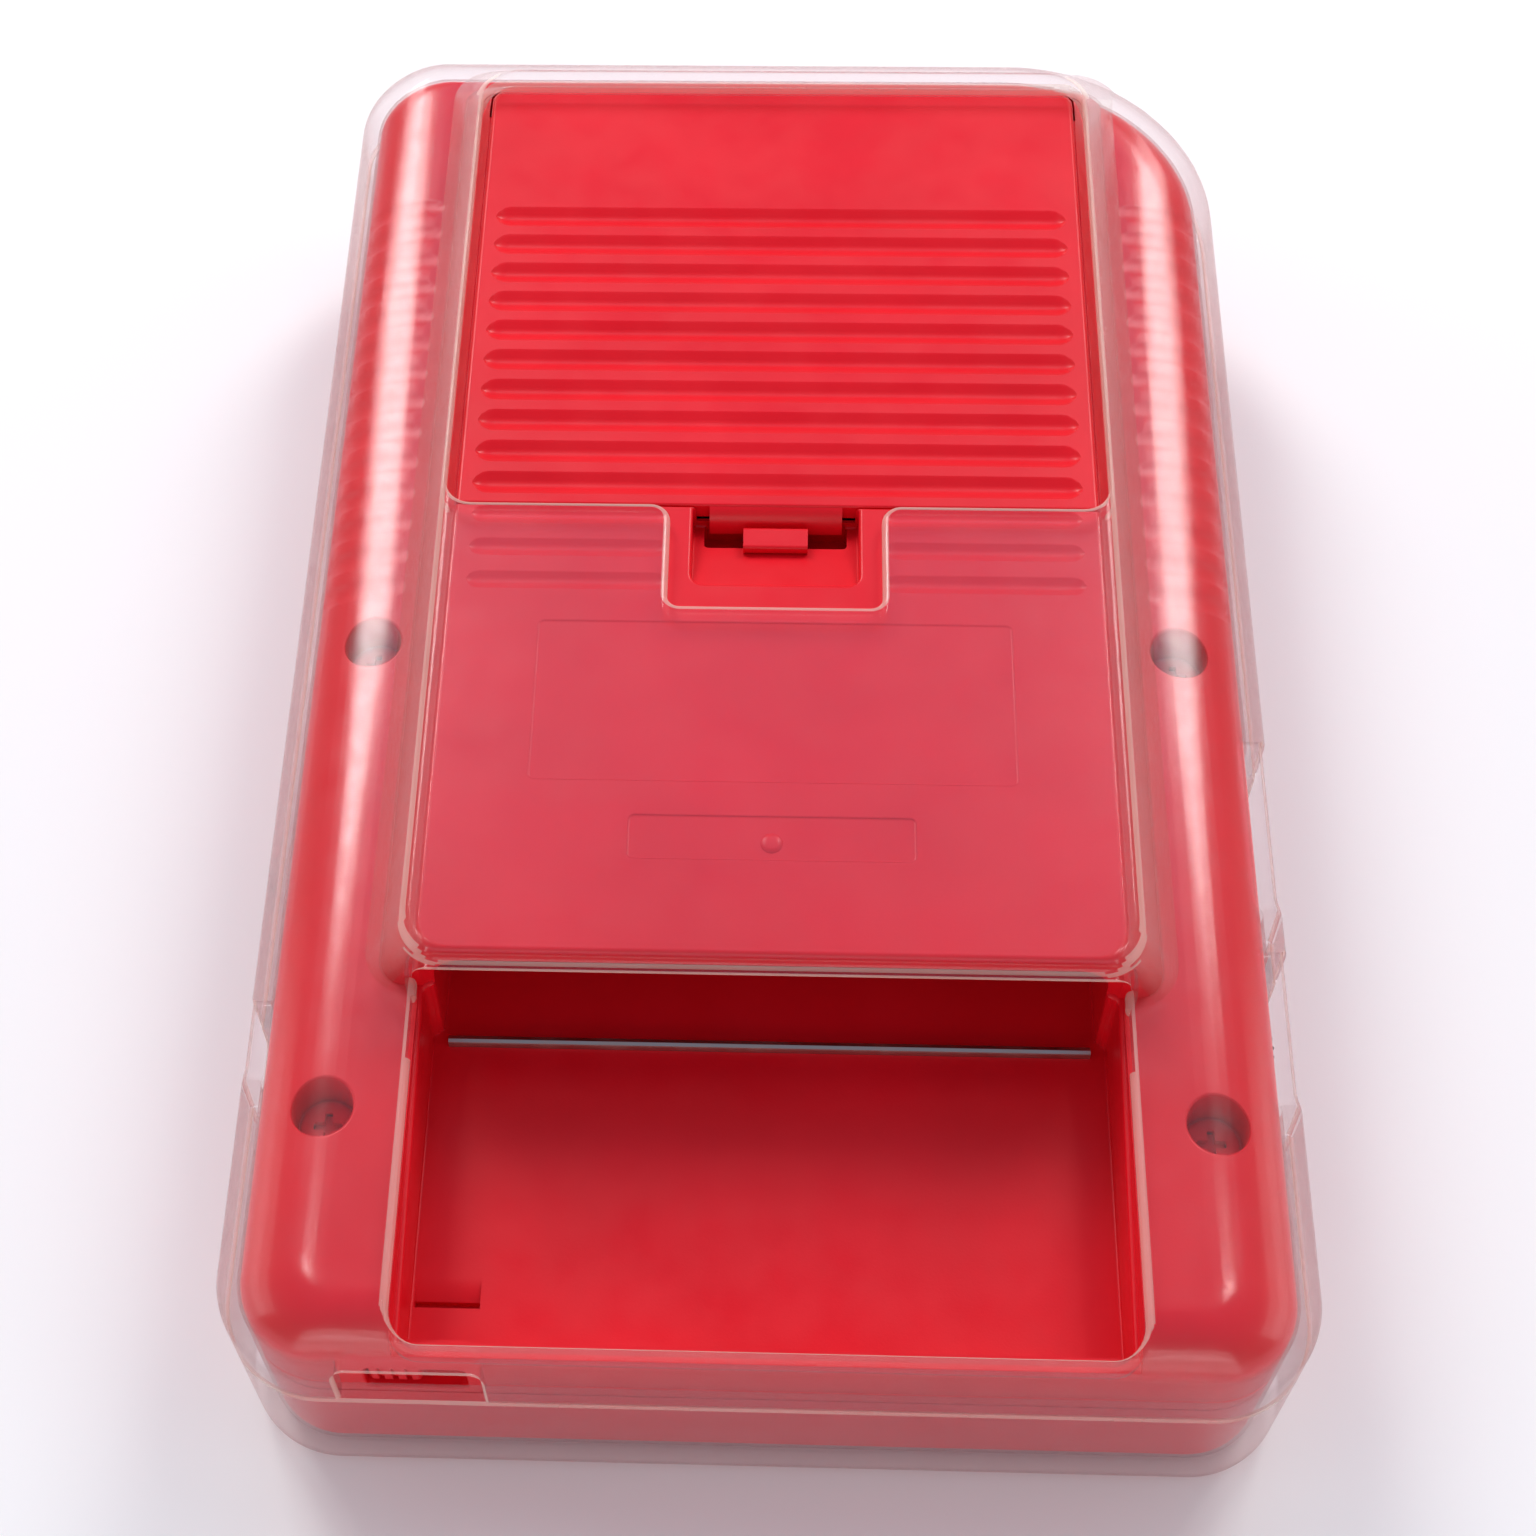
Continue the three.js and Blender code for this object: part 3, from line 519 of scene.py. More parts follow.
# ---- clear case ----
CASE_OPENINGS = ((-30, -12, 11, 25, 1), (-49.5, -34.5, 11, 25, 1),   # link socket, volume wheel
                 (-48.8, -41, 14, 24.4, -1))  # contrast wheel
CASE_OPENINGS_BELOW = ((5, 41, 6.5, 32, 9), (-19, 16, 40.5, 53.5, 6))  # round and menu buttons
DPAD_PLACE = (-25.5, 22.0)
JACK_PLACE = (-22.0, 10.6)  # power jack: y, z
PHONES_PLACE = (-28.0, 10.6)  # headphone jack: x, z
SPEAKER = Sizes(x=30.0, y=54.0, slots=5, pitch=4.0, half=7.5, turn=-0.9)


def side_window(path, side, offset, wall, lip):
    """A window through a side wall that rounds over towards its top."""
    outer = wall_reach(HALF_WIDTH, TOP_EDGE.side, offset)
    inner = wall_reach(HALF_WIDTH, TOP_EDGE.side, offset + wall)
    return window(path, outer, inner, lip, from_side(side))


def case_side_window(near, far, low, high, side):
    return side_window(rounded_box(near, far, low, high, 0.9, 6), side, 0, CASE_WALL, 0.35)


def switch_window():
    path = rounded_box(SWITCH_CUTOUT.left, SWITCH_CUTOUT.right, 10, SWITCH_CUTOUT.high, 1.0, 6)
    outer = wall_reach(HALF_LENGTH, TOP_EDGE.near, 0)
    inner = wall_reach(HALF_LENGTH, TOP_EDGE.near, CASE_WALL)
    return window(path, outer, inner, 0.35, from_near)


def below_window(path, offset, wall, lip=0.35):
    return window(path, flat(-offset), flat(-offset - wall), lip, from_below)


def door_window():
    door, latch = DOOR_CUTOUT, LATCH_CUTOUT
    right = [(latch.half, latch.near, 1.2), (latch.half, door.near, 1.9),
             (door.half, door.near, 2.6), (door.half, door.far, 1.6)]
    path = rounded_path(right + [(-x, y, radius) for x, y, radius in right[::-1]])
    cutter = window(path, flat(HEIGHT), flat(HEIGHT - CASE_WALL), 0.6)
    # The cut-out's upright walls, all but the near one, get the second material, a painted rim highlight.
    for face in cutter.data.polygons:
        if abs(face.normal.z) < 0.1 and face.normal.y > -0.7:
            face.material_index = RIM
    return cutter


def cartridge_window():
    half = CART_CUTOUT.half
    path = rounded_box(-half, half, CART_CUTOUT.near, CART_CUTOUT.far, 2.5, 8)
    return window(path, shoulder_height(0), shoulder_height(CASE_WALL), 0.7, below=0.4, above=3.0)


def cartridge_notch():
    """Opens the hump's near wall over the cartridge bay, with rounded upper corners."""
    half = CART_CUTOUT.half
    path = rounded_box(-half, half, SHOULDER - 4, HEIGHT - CASE_WALL - 0.55, 1.6, 8)
    wall = HUMP.near
    return window(path, flat(-wall), flat(-wall - CASE_WALL), 0.4, from_near)


def mark_seam(piece, low, high):
    """Gives the bevel along the seam the second material, which paints a highlight line on it."""
    for face in piece.data.polygons:
        if low < face.center.z / MM < high and 0.3 < abs(face.normal.z) < 0.95:
            face.material_index = RIM


def mark_hump(piece):
    """Gives the hump's long steep walls the third material, a painted reflection band, and a line along its
    edges the second, a painted highlight line.
    """
    piece.data.materials.append(None)
    for face in piece.data.polygons:
        x, y, z = face.center / MM
        if abs(face.normal.x) > 0.5 and z > SHOULDER - 2 and 30 < abs(x) < 38 and -44 < y < 66:
            face.material_index = FLANK
        side = abs(face.normal.x) > 0.3 and 0.55 < face.normal.z < 0.92
        near = face.normal.y < -0.5 and 0.2 < face.normal.z < 0.5
        if z > HEIGHT - 1.6 and (side or near):
            face.material_index = RIM


def speaker_slot(slot, width):
    along = (slot - (SPEAKER.slots - 1) / 2) * SPEAKER.pitch
    path = rounded_box(-SPEAKER.half, SPEAKER.half, along - width / 2, along + width / 2,
                       width / 2 - 0.02, 6)
    return spun(path, SPEAKER.turn, SPEAKER.x, SPEAKER.y)


def speaker_windows(width, offset, wall, lip):
    return [below_window(speaker_slot(slot, width), offset, wall, lip) for slot in range(SPEAKER.slots)]


def socket_windows(jack_radius, phones_radius, offset, wall, lip):
    """Round openings for the power plug and the headphone plug."""
    side, end = HALF_WIDTH - offset, HALF_LENGTH - offset
    return [window(circle(*JACK_PLACE, jack_radius), flat(side), flat(side - wall), lip, from_side(-1)),
            window(circle(*PHONES_PLACE, phones_radius), flat(end), flat(end - wall), lip, from_far)]


def case_back():
    low = CASE_SPLIT + GAP / 2
    case = cut(two_toned(back_form(0, low)), back_form(CASE_WALL, low - 5))
    mark_seam(case, low, low + SEAM_BEVEL)
    mark_hump(case)
    cut(case, door_window(), cartridge_window(), cartridge_notch(), switch_window())
    for *opening, side in CASE_OPENINGS:
        cut(case, case_side_window(*opening, side))
    return case


def case_front():
    high = CASE_SPLIT - GAP / 2
    case = cut(two_toned(front_slab(0, high)), front_slab(CASE_WALL, high + 5))
    mark_seam(case, high - SEAM_BEVEL, high)
    for near, far, low, _, side in CASE_OPENINGS:
        cut(case, case_side_window(near, far, low, 22, side))
    cut(case, below_window(circle(*DPAD_PLACE, 16.5, 72), 0, CASE_WALL))
    for x0, x1, y0, y1, radius in CASE_OPENINGS_BELOW:
        cut(case, below_window(rounded_box(x0, x1, y0, y1, radius), 0, CASE_WALL))
    cut(case, *speaker_windows(2.4, 0, CASE_WALL, 0.2))
    return cut(case, *socket_windows(4.6, 4.2, 0, CASE_WALL, 0.35))


# ---- red shells ----
SCREW_PLACES = [sum(box_mm(f"shell_screw_{i}"))[:2] / 2 for i in range(1, 7)]
DOOR_FLANGE = 31.1  # half-width of the door's thin border
DOOR_FLANGE_LOW = 33.4
DOOR_SEAT_FAR = 64.7  # relief under the door's far edge, past its hinge
DOOR_RELIEF_LOW = 29.8
DOOR_HINGE_FACE = 61.9  # past this the door is thin, down to DOOR_TIP_LOW
DOOR_TIP_LOW = 32.9
ROUND_BUTTONS = {"button_a": (31.0, 16.0), "button_b": (15.5, 23.0)}
MENU_BUTTONS = {"menu_button_left": (-9.0, 47.0), "menu_button_right": (7.0, 47.0)}
MENU_TURN = -0.45
DPAD = Sizes(span=11.9, arm=4.1, disc=13.0)
LENS_OPENING = (-24, 24, -60, -17)
BUTTON_RADIUS = 5.8


def rib_row(row):
    return RIB_FIRST - row * RIB_PITCH


def trough(points, radius):
    """A round-ended rod along points in a plane across Y, for cutting a groove."""
    points = [Vector(p) for p in points]
    last = len(points) - 1
    angles = np.linspace(pi / 2 * 0.96, 0, 6)

    def ring(centre, along, size):
        across = along.cross(Vector((0, 1, 0))).normalized()
        other = along.cross(across).normalized()
        return [tuple(centre + across * size * cos(t) + other * size * sin(t))
                for t in np.linspace(0, 2 * pi, 20, endpoint=False)]

    start = (points[1] - points[0]).normalized()
    end = (points[last] - points[last - 1]).normalized()
    rings = [ring(points[0] - start * radius * sin(a), start, radius * cos(a)) for a in angles]
    for i in range(1, last):
        rings.append(ring(points[i], (points[i + 1] - points[i - 1]).normalized(), radius))
    rings += [ring(points[last] + end * radius * sin(a), end, radius * cos(a))
              for a in angles[::-1]]
    return loft(rings)


def straight_grooves(rows, half_length, middle, top, groove):
    """Grooves along X with a soft wave for a cross-section, which run out at both ends."""
    half_width, depth = groove
    across = np.linspace(-1, 1, 13)
    stations = []
    for run in np.linspace(0, 1, 6):
        share = sqrt(1 - (1 - run) ** 2)
        stations.append((half_length - run * half_width, max(share, 0.15)))
    stations = [(-x, share) for x, share in stations] + stations[::-1]
    waves = []
    for row in rows:
        rings = []
        for x, share in stations:
            reach = half_width * share
            dip = 0.03 - depth * share * (1 + np.cos(pi * across)) / 2
            ring = [(middle + x, rib_row(row) + reach * t, top + z) for t, z in zip(across, dip)]
            ring += [(middle + x, rib_row(row) + reach * t, top + 1) for t in (1, -1)]
            rings.append(ring)
        waves.append(loft(rings))
    return merged(waves)


def shoulder_grooves(rows, side):
    """Finger grooves that follow the shell's shoulder down over its rounded edge."""
    half_width, depth = SHOULDER_GROOVE
    radius = (half_width ** 2 + depth ** 2) / (2 * depth)
    lift = radius - depth
    run = TOP_EDGE.side - INSET
    rise = TOP_EDGE.rise - INSET
    flat_end = HALF_WIDTH - INSET - run
    top = SHOULDER - INSET
    profile = []
    for angle in np.linspace(0.05, 1.15, 12):
        across, up = sin(angle), cos(angle)
        lean = hypot(rise * across, run * up)
        profile.append((flat_end + run * across + lift * rise * across / lean,
                        top - rise + rise * up + lift * run * up / lean))
    return merged([trough([(side * x, rib_row(row), z) for x, z in profile], radius) for row in rows])


def recess_pit():
    half = RECESS.half
    path = rounded_box(-half, half, -HALF_LENGTH - 6, HUMP.near + INSET + 0.01, 0.8, 5)
    return pit(path, shoulder_height(INSET), flat(RECESS.floor), 0.45)


def cartridge_bay():
    """The room under the hump that a cartridge slides into, with rounded upper corners."""
    half, floor = RECESS.bay_half, RECESS.floor
    profile = rounded_box(-half, half, floor, RECESS.bay_top, (0.2, 0.2, 3.0, 3.0), 8)
    mouth = HUMP.near + INSET
    stations = [(0, RECESS.bay_end), (0, mouth + 0.5), (0.13, mouth + 0.15), (0.5, mouth), (0.5, mouth - 3)]
    return moved_rings(profile, stations, lambda x, z, y: (x, y, max(z, floor)))


def switch_pit():
    bay = SWITCH_BAY
    path = rounded_box(bay.left, bay.right, bay.low, bay.high, 0.7, 6)
    reach = wall_reach(HALF_LENGTH, TOP_EDGE.near, INSET)
    return pit(path, reach, flat(-bay.back), 0.25, from_near)


def floor_slit():
    """A slot in the recess floor that deepens towards the near end."""
    slit, floor = FLOOR_SLIT, RECESS.floor
    profile = [(slit.near, floor - slit.deep), (slit.step, floor - slit.deep),
               (slit.step, floor - 0.8), (slit.far, floor), (slit.far, floor + 1),
               (slit.near - 0.12, floor + 1), (slit.near, floor - 0.15)]
    return bar(profile, slit.left, slit.right)


def wheel_window(wheel, half_length, side):
    low, high = box_mm(wheel)
    middle = (low[1] + high[1]) / 2
    path = rounded_box(middle - half_length, middle + half_length, low[2] - 0.5, high[2] + 0.5, 0.5, 4)
    return side_window(path, side, INSET, SHELL_WALL, 0.25)


def latch_pit():
    """A finger ramp that deepens towards the catch."""
    pocket = LATCH_POCKET
    path = rounded_box(-pocket.half, pocket.half, pocket.near, pocket.far, (1.2, 1.2, 0.3, 0.3), 6)
    fall = (pocket.shallow - pocket.floor) / (pocket.far - pocket.near)

    def floor(_, y):
        return pocket.shallow - (y - pocket.near) * fall

    return pit(path, flat(SHELL_TOP), floor, 0.35)


def inner_tubs(low, above):
    """The cartridge recess's and the battery bay's walls, and the screw posts."""
    recess, bay = RECESS, BATTERY_BAY
    half = recess.half + 1.5
    tubs = [block(-half, half, NEAR_END, recess.bay_end, recess.floor - 1.7, above)]
    half, wall = bay.half + bay.wall, bay.wall
    tubs.append(block(-half, half, bay.near - wall - 4.5, bay.far + wall, bay.floor - 1.5, above))
    return tubs + [prism(circle(x, y, POST_RADIUS), low + 0.1, above) for x, y in SCREW_PLACES]


def door_seats(above):
    """Cutters for the door's border, its body, its swing past the hinge, and its catch."""
    well = LATCH_WELL
    border, body = DOOR_FLANGE + GAP, DOOR_HIGH[0] + 0.25
    near, far = DOOR_LOW[1] + 1.2, DOOR_SEAT_FAR
    path = rounded_box(-border, border, near, far, 0.6, 5)
    return [
        pit(path, flat(SHELL_TOP), flat(DOOR_FLANGE_LOW - 0.1), 0.15),
        block(-body, body, near, far, DOOR_LOW[2] - 0.5, above, 0.6),
        block(-border, border, BATTERY_BAY.far - 1.2, far, DOOR_RELIEF_LOW, above),
        latch_pit(),
        block(-well.half, well.half, well.near, well.far, well.floor, above, 0.5),
    ]


def screw_pit(x, y):
    if y > BATTERY_BAY.near:
        return prism(circle(x, y, SCREW_HOLE), BAY_SCREW_SEAT, 30)
    return pit(circle(x, y, SCREW_HOLE), shoulder_height(INSET), flat(SCREW_SEAT), 0.3)


def label_recesses():
    """Two shallow plain rectangles on the hump."""
    return [pit(rounded_box(-half, half, near, far, 0.6, 5), flat(SHELL_TOP), flat(SHELL_TOP - deep), 0.05)
            for half, near, far, deep in LABELS]


def shell_back():
    low, above = SHELL_SPLIT, 40
    recess, bay, switch = RECESS, BATTERY_BAY, SWITCH_BAY

    def added(shell, solid):
        add(shell, within(solid, back_form(INSET, low)))

    shell = cut(back_form(INSET, low), back_form(INSET + SHELL_WALL, low - 5))
    for tub in inner_tubs(low, above):
        added(shell, tub)
    cut(shell, recess_pit(), cartridge_bay())
    half = recess.half + 0.5
    added(shell, block(-half, half, NEAR_END, recess.wall_far, low, recess.wall_top))
    half = bay.half
    cut(shell, block(-half, half, bay.near, bay.far, bay.floor, bay.lid + 0.2, 0.8))
    cut(shell, *door_seats(above))
    added(shell, block(switch.left - 1.4, switch.right + 0.5, NEAR_END, switch.block_far,
                       low, switch.block_top, 0.5))
    cut(shell, switch_pit(), floor_slit())
    for x, y in SCREW_PLACES:
        cut(shell, screw_pit(x, y), prism(circle(x, y, PILOT_HOLE), 0, 30))
    cut(shell, block(37, 50, LINK_LOW[1] - 0.4, LINK_HIGH[1] + 0.4, 0, LINK_HIGH[2] + 0.4))
    cut(shell, wheel_window("volume_wheel", 5.6, 1), wheel_window("contrast_wheel", 4.8, -1))
    for side in (-1, 1):
        cut(shell, shoulder_grooves(range(-2, 12), side))
        hump_rows = range(DOOR_RIBS, DOOR_RIBS + HUMP_RIBS)
        cut(shell, straight_grooves(hump_rows, 9.6, side * 19.8, SHELL_TOP, HUMP_GROOVE))
    cut(shell, *label_recesses())
    dot = [(radius, SHELL_TOP + z) for radius, z in ((1.0, -0.6), (1.0, -0.08), (0.85, 0.04), (0.5, 0.1))]
    return add(shell, turned(0, -29.5, dot))


def plus_path(span, arm, radius):
    x, y = DPAD_PLACE
    corners = []
    across, along = Vector((1, 0)), Vector((0, 1))
    for _ in range(4):
        for a, b, rounding in ((span, -arm, radius), (span, arm, radius), (arm, arm, 0.3)):
            corners.append((*(across * a + along * b + Vector((x, y))), rounding))
        across, along = along, -across
    return rounded_path(corners, 4)


def menu_path(x, y, margin):
    half_length, half_width = 6 + margin, 2 + margin
    path = rounded_box(-half_length, half_length, -half_width, half_width, half_width - 0.02, 8)
    return spun(path, MENU_TURN, x, y)


def shell_front():
    high = SHELL_SPLIT - GAP
    offset, wall = INSET, SHELL_WALL
    shell = cut(front_slab(offset, high), front_slab(offset + wall, high + 5))
    seat = rounded_box(LENS_LOW[0] - 0.2, LENS_HIGH[0] + 0.2, LENS_LOW[1] - 0.2, LENS_HIGH[1] + 0.2, 4)
    cut(shell, pit(seat, flat(-offset), flat(-3.3), 0.25, from_below))
    cut(shell, prism(rounded_box(*LENS_OPENING, 1), 0, 6))
    cut(shell, below_window(plus_path(DPAD.span + 0.8, DPAD.arm + 0.85, 0.9), offset, wall, 0.3))
    for x, y in ROUND_BUTTONS.values():
        cut(shell, below_window(circle(x, y, BUTTON_RADIUS + 0.4, 56), offset, wall, 0.4))
    for x, y in MENU_BUTTONS.values():
        cut(shell, below_window(menu_path(x, y, 0.4), offset, wall, 0.3))
    cut(shell, *speaker_windows(1.6, offset, wall, 0.25))
    for x, y in SCREW_PLACES:
        add(shell, prism(circle(x, y, 3.2), 3, high))
        cut(shell, prism(circle(x, y, 1.5), 5.5, 40))
    cut(shell, block(40, 50, LINK_LOW[1] - 0.4, LINK_HIGH[1] + 0.4, 13.4, 20))
    return cut(shell, *socket_windows(3.4, 3.1, offset, wall, 0.3))


# ---- door, latch and switch ----
def battery_door():
    low, high = DOOR_LOW[2], DOOR_HIGH[2]
    path = rounded_box(-DOOR_FLANGE, DOOR_FLANGE, 8.1, DOOR_SEAT_FAR - 0.25, 0.6, 6)
    door = moved_rings(path, rounded_profile(low, high, 0.25))
    within(door, back_form(INSET, 20))
    for side in (-1, 1):
        ends = sorted((side * DOOR_HIGH[0], side * 40))
        cut(door, block(*ends, 0, 70, 20, DOOR_FLANGE_LOW))
    cut(door, block(-40, 40, DOOR_HINGE_FACE, 70, 20, DOOR_TIP_LOW))
    cut(door, straight_grooves(range(DOOR_RIBS), 29.6, 0, high, DOOR_GROOVE))
    tongue = [(9.4, high - 0.02), (8.4, high - 0.05), (7.7, high - 0.35), (7.1, high - 0.95),
              (6.75, high - 1.8), (6.7, low - 0.9), (7.6, low - 1.0), (9.4, low + 0.1)]
    return add(door, bar(tongue, -6.4, 6.4))


def door_latch():
    """The springy catch: an upright blade with a thumb tab and a foot."""
    path = rounded_box(3.6, 6.1, 32.0, 33.1, 0.35, 5)
    tab = loft([[(x, y + (0.12 if abs(x) > 2.9 else 0), z) for y, z in path]
                for x in (-3.1, -2.95, 2.95, 3.1)])
    blade = block(-3, 3, 5.0, 6.1, 29.2, 32.5)
    foot = block(-3, 3, 5.0, 7.7, 29.2, 30.1)
    return add(tab, blade, foot)


def power_switch():
    low, high = box_mm("power_switch")
    knob = moved_rings(rounded_box(low[0], low[0] + 4.6, low[2], high[2], 0.5, 5),
                       rounded_profile(-SWITCH_BAY.back + 0.1, 73.5, 0.4), from_near)
    for ridge in range(3):
        x = low[0] + 1.1 + ridge * 1.2
        cut(knob, block(x - 0.25, x + 0.25, -75, -73.1, 0, 40))
    return knob


# ---- screws, wheels, sockets ----
def screw(i):
    low, high = box_mm(f"shell_screw_{i}")
    x, y = (low[:2] + high[:2]) / 2
    head = (high[0] - low[0]) / 2
    seat = 0.05 + (BAY_SCREW_SEAT if y > BATTERY_BAY.near else SCREW_SEAT)
    dome = min(high[2] - seat, 1.6)
    profile = [(1.0, low[2]), (1.3, low[2] + 0.8), (1.3, seat), (head, seat), (head, seat + dome * 0.4)]
    profile += [(head * cos(a), seat + dome * (0.4 + 0.6 * sin(a)))
                for a in np.linspace(0.3, 1.45, 6)]
    made = turned(x, y, profile)
    for wide, long in ((0.35, 1.3), (1.3, 0.35)):
        cut(made, block(x - wide, x + wide, y - long, y + long, seat + dome - 0.8, 40, 0.2))
    return made


def thumb_wheel(name):
    """A knurled wheel with softened rims and a hub hole."""
    low, high = box_mm(name)
    x, y = (low[:2] + high[:2]) / 2
    radius = (high[0] - low[0]) / 2
    teeth, depth = 42, 0.22
    angles = np.linspace(0, 2 * pi, 8 * teeth, endpoint=False)
    knurl = radius - depth + depth * np.cos(teeth * angles)
    path = np.stack([knurl * np.cos(angles), knurl * np.sin(angles)], 1)
    rings = [at_height(path * share + (x, y), z) for z, share in
             ((low[2], 0.95), (low[2] + 0.3, 1), (high[2] - 0.3, 1), (high[2], 0.95))]
    return cut(loft(rings), prism(circle(x, y, 1.6), 0, 40))


def node_block(low, high, radius=0.0):
    return block(low[0], high[0], low[1], high[1], low[2], high[2], radius)


def link_socket():
    low, high = LINK_LOW, LINK_HIGH
    body = node_block(low, high)
    hollow = rounded_box(low[1] + 1.2, high[1] - 1.2, low[2] + 0.8, high[2] - 0.8, 0.8, 6)
    cut(body, pit(hollow, flat(high[0]), flat(low[0] + 1.7), 0.3, from_side(1)))
    middle = (low[2] + high[2]) / 2
    add(body, block(low[0] + 1.2, high[0] - 0.8, low[1] + 2.8, high[1] - 2.8, middle - 0.5, middle + 0.5))
    pins = [marked(block(low[0] + 1.8, high[0] - 1.2, y - 0.35, y + 0.35, middle + 0.45, middle + 0.6))
            for y in np.linspace(low[1] + 4, high[1] - 4, 4)]
    return merged([body] + pins)


def cartridge_socket():
    low, high = box_mm("cartridge_connector")
    body = node_block(low, high, 0.3)
    slot = rounded_box(-25, 25, 21.5, 25.5, 0.5, 5)
    cut(body, pit(slot, flat(-low[1]), flat(-low[1] - 3.6), 0.3, from_near))
    pins = [marked(block(x - 0.45, x + 0.45, low[1] + 0.5, low[1] + 3.9, 21.45, 21.9))
            for x in np.arange(-23.25, 23.3, 1.5)]
    return merged([body] + pins)


def metal_strip():
    """The folded strip along the bay's mouth."""
    low, high = box_mm("cartridge_shield")
    front = low[1] + 0.1
    profile = [(front, low[2]), (front + 0.9, low[2]), (front + 0.9, high[2] - 0.35),
               (front + 0.75, high[2] - 0.1), (front + 0.4, high[2]), (front + 0.1, high[2] - 0.12),
               (front, high[2] - 0.4)]
    return bar(profile, low[0], high[0])


# ---- cells ----
def battery_cell(i):
    """A wrapped cell: bare metal ends, a crimped rim and a nub at one end."""
    low, high = box_mm(f"battery_cell_{i}")
    x, z = (low[0] + high[0]) / 2, (low[2] + high[2]) / 2
    radius = (high[0] - low[0]) / 2
    flip = i % 2 == 0
    length = high[1] - low[1]
    metal = [(2.6, -1.1), (2.75, -0.9), (2.75, 0.0), (radius - 1.3, 0.05), (radius - 0.9, -0.05),
             (radius - 0.45, 0.25)]
    wrap = [(radius - 0.25, 0.2), (radius - 0.05, 0.35), (radius, 0.7), (radius, length - 2.2),
            (radius - 0.05, length - 1.7), (radius - 0.3, length - 1.5)]
    base = [(radius - 0.5, length - 1.45), (radius - 1.2, length - 1.15), (radius - 1.6, length - 1.3)]

    def lay(stations):
        rings = []
        for size, along in stations:
            y = low[1] + 1.1 + along if flip else high[1] - 1.1 - along
            rings.append([(px, y, pz) for px, pz in circle(x, z, size, 56)])
        return loft(rings)

    ends = [marked(lay(metal + [(radius - 0.5, 0.6)])), marked(lay([(radius - 0.5, length - 2)] + base))]
    return merged([lay(wrap)] + ends)


# ---- screen and controls ----
def screen_lens():
    """A tinted cover whose printed border leaves a clear window."""
    low, high = LENS_LOW, LENS_HIGH
    path = rounded_box(low[0], high[0], low[1], high[1], 3.8)
    border = moved_rings(path, rounded_profile(-high[2], -low[2], 0.3), from_below)
    opening = rounded_box(*LENS_OPENING, 0.8, 6)
    cut(border, window(opening, flat(-low[2]), flat(-high[2]), 0.02, from_below))
    pane = moved_rings(opening, [(0, -high[2] + 0.1), (0, -low[2] - 0.05)], from_below)
    return merged([border, marked(pane)])


def dished(path, low, high, dip):
    """A key whose outer face is rounded over and dished in its middle."""
    centre = path.mean(0)
    normals = path_normals(path)
    rings = []
    for out, height in rounded_profile(low, high, 0.6):
        last = path + normals * out
        rings.append([from_below(u, v, height) for u, v in last])
    for share in (0.75, 0.5, 0.3, 0.12):
        inner = centre + (last - centre) * share
        rings.append([from_below(u, v, high - dip * (1 - share ** 2)) for u, v in inner])
    return loft(rings)


def dpad():
    low, high = box_mm("dpad")
    x, y = DPAD_PLACE
    path = plus_path(DPAD.span, DPAD.arm, 0.9)
    cross = moved_rings(path, rounded_profile(-4.2, -low[2], 0.7), from_below)
    cut(cross, turned(x, y, [(0.3, low[2] + 0.75), (2.2, low[2] + 0.5), (3.4, low[2]), (3.6, low[2] - 2)]))
    for a, b in ((1, 0), (-1, 0), (0, 1), (0, -1)):
        for step in (6.5, 8.0, 9.5):
            wide, long = (0.3, 2.6) if a else (2.6, 0.3)
            cx, cy = x + a * step, y + b * step
            cut(cross, block(cx - wide, cx + wide, cy - long, cy + long, low[2] - 2, low[2] + 0.3, 0.28))
    add(cross, prism(circle(x, y, 4), 3.5, 5.2),
        turned(x, y, [(DPAD.disc - 0.2, 5.0), (DPAD.disc, 5.2), (DPAD.disc, high[2])]))
    return cut(cross, prism(circle(x, y, 1.5), 4.6, 9))


def round_button(name):
    low, high = box_mm(name)
    x, y = ROUND_BUTTONS[name]
    key = dished(circle(x, y, BUTTON_RADIUS, 64), -4.6, -low[2], 0.35)
    return add(key, prism(circle(x, y, BUTTON_RADIUS + 1.2), 4.4, high[2]))


def menu_button(name):
    low, high = box_mm(name)
    place = MENU_BUTTONS[name]
    key = moved_rings(menu_path(*place, 0), rounded_profile(-4.8, -low[2], 0.8), from_below)
    return add(key, prism(menu_path(*place, 1), 4.6, high[2]))


# ---- materials ----
def fill_ramp(node, stops):
    elements = node.color_ramp.elements
    while len(elements) < len(stops):
        elements.new(0.5)
    for element, (position, color) in zip(elements, stops):
        element.position = position
        element.color = (*color, 1)
    return node.outputs["Color"]


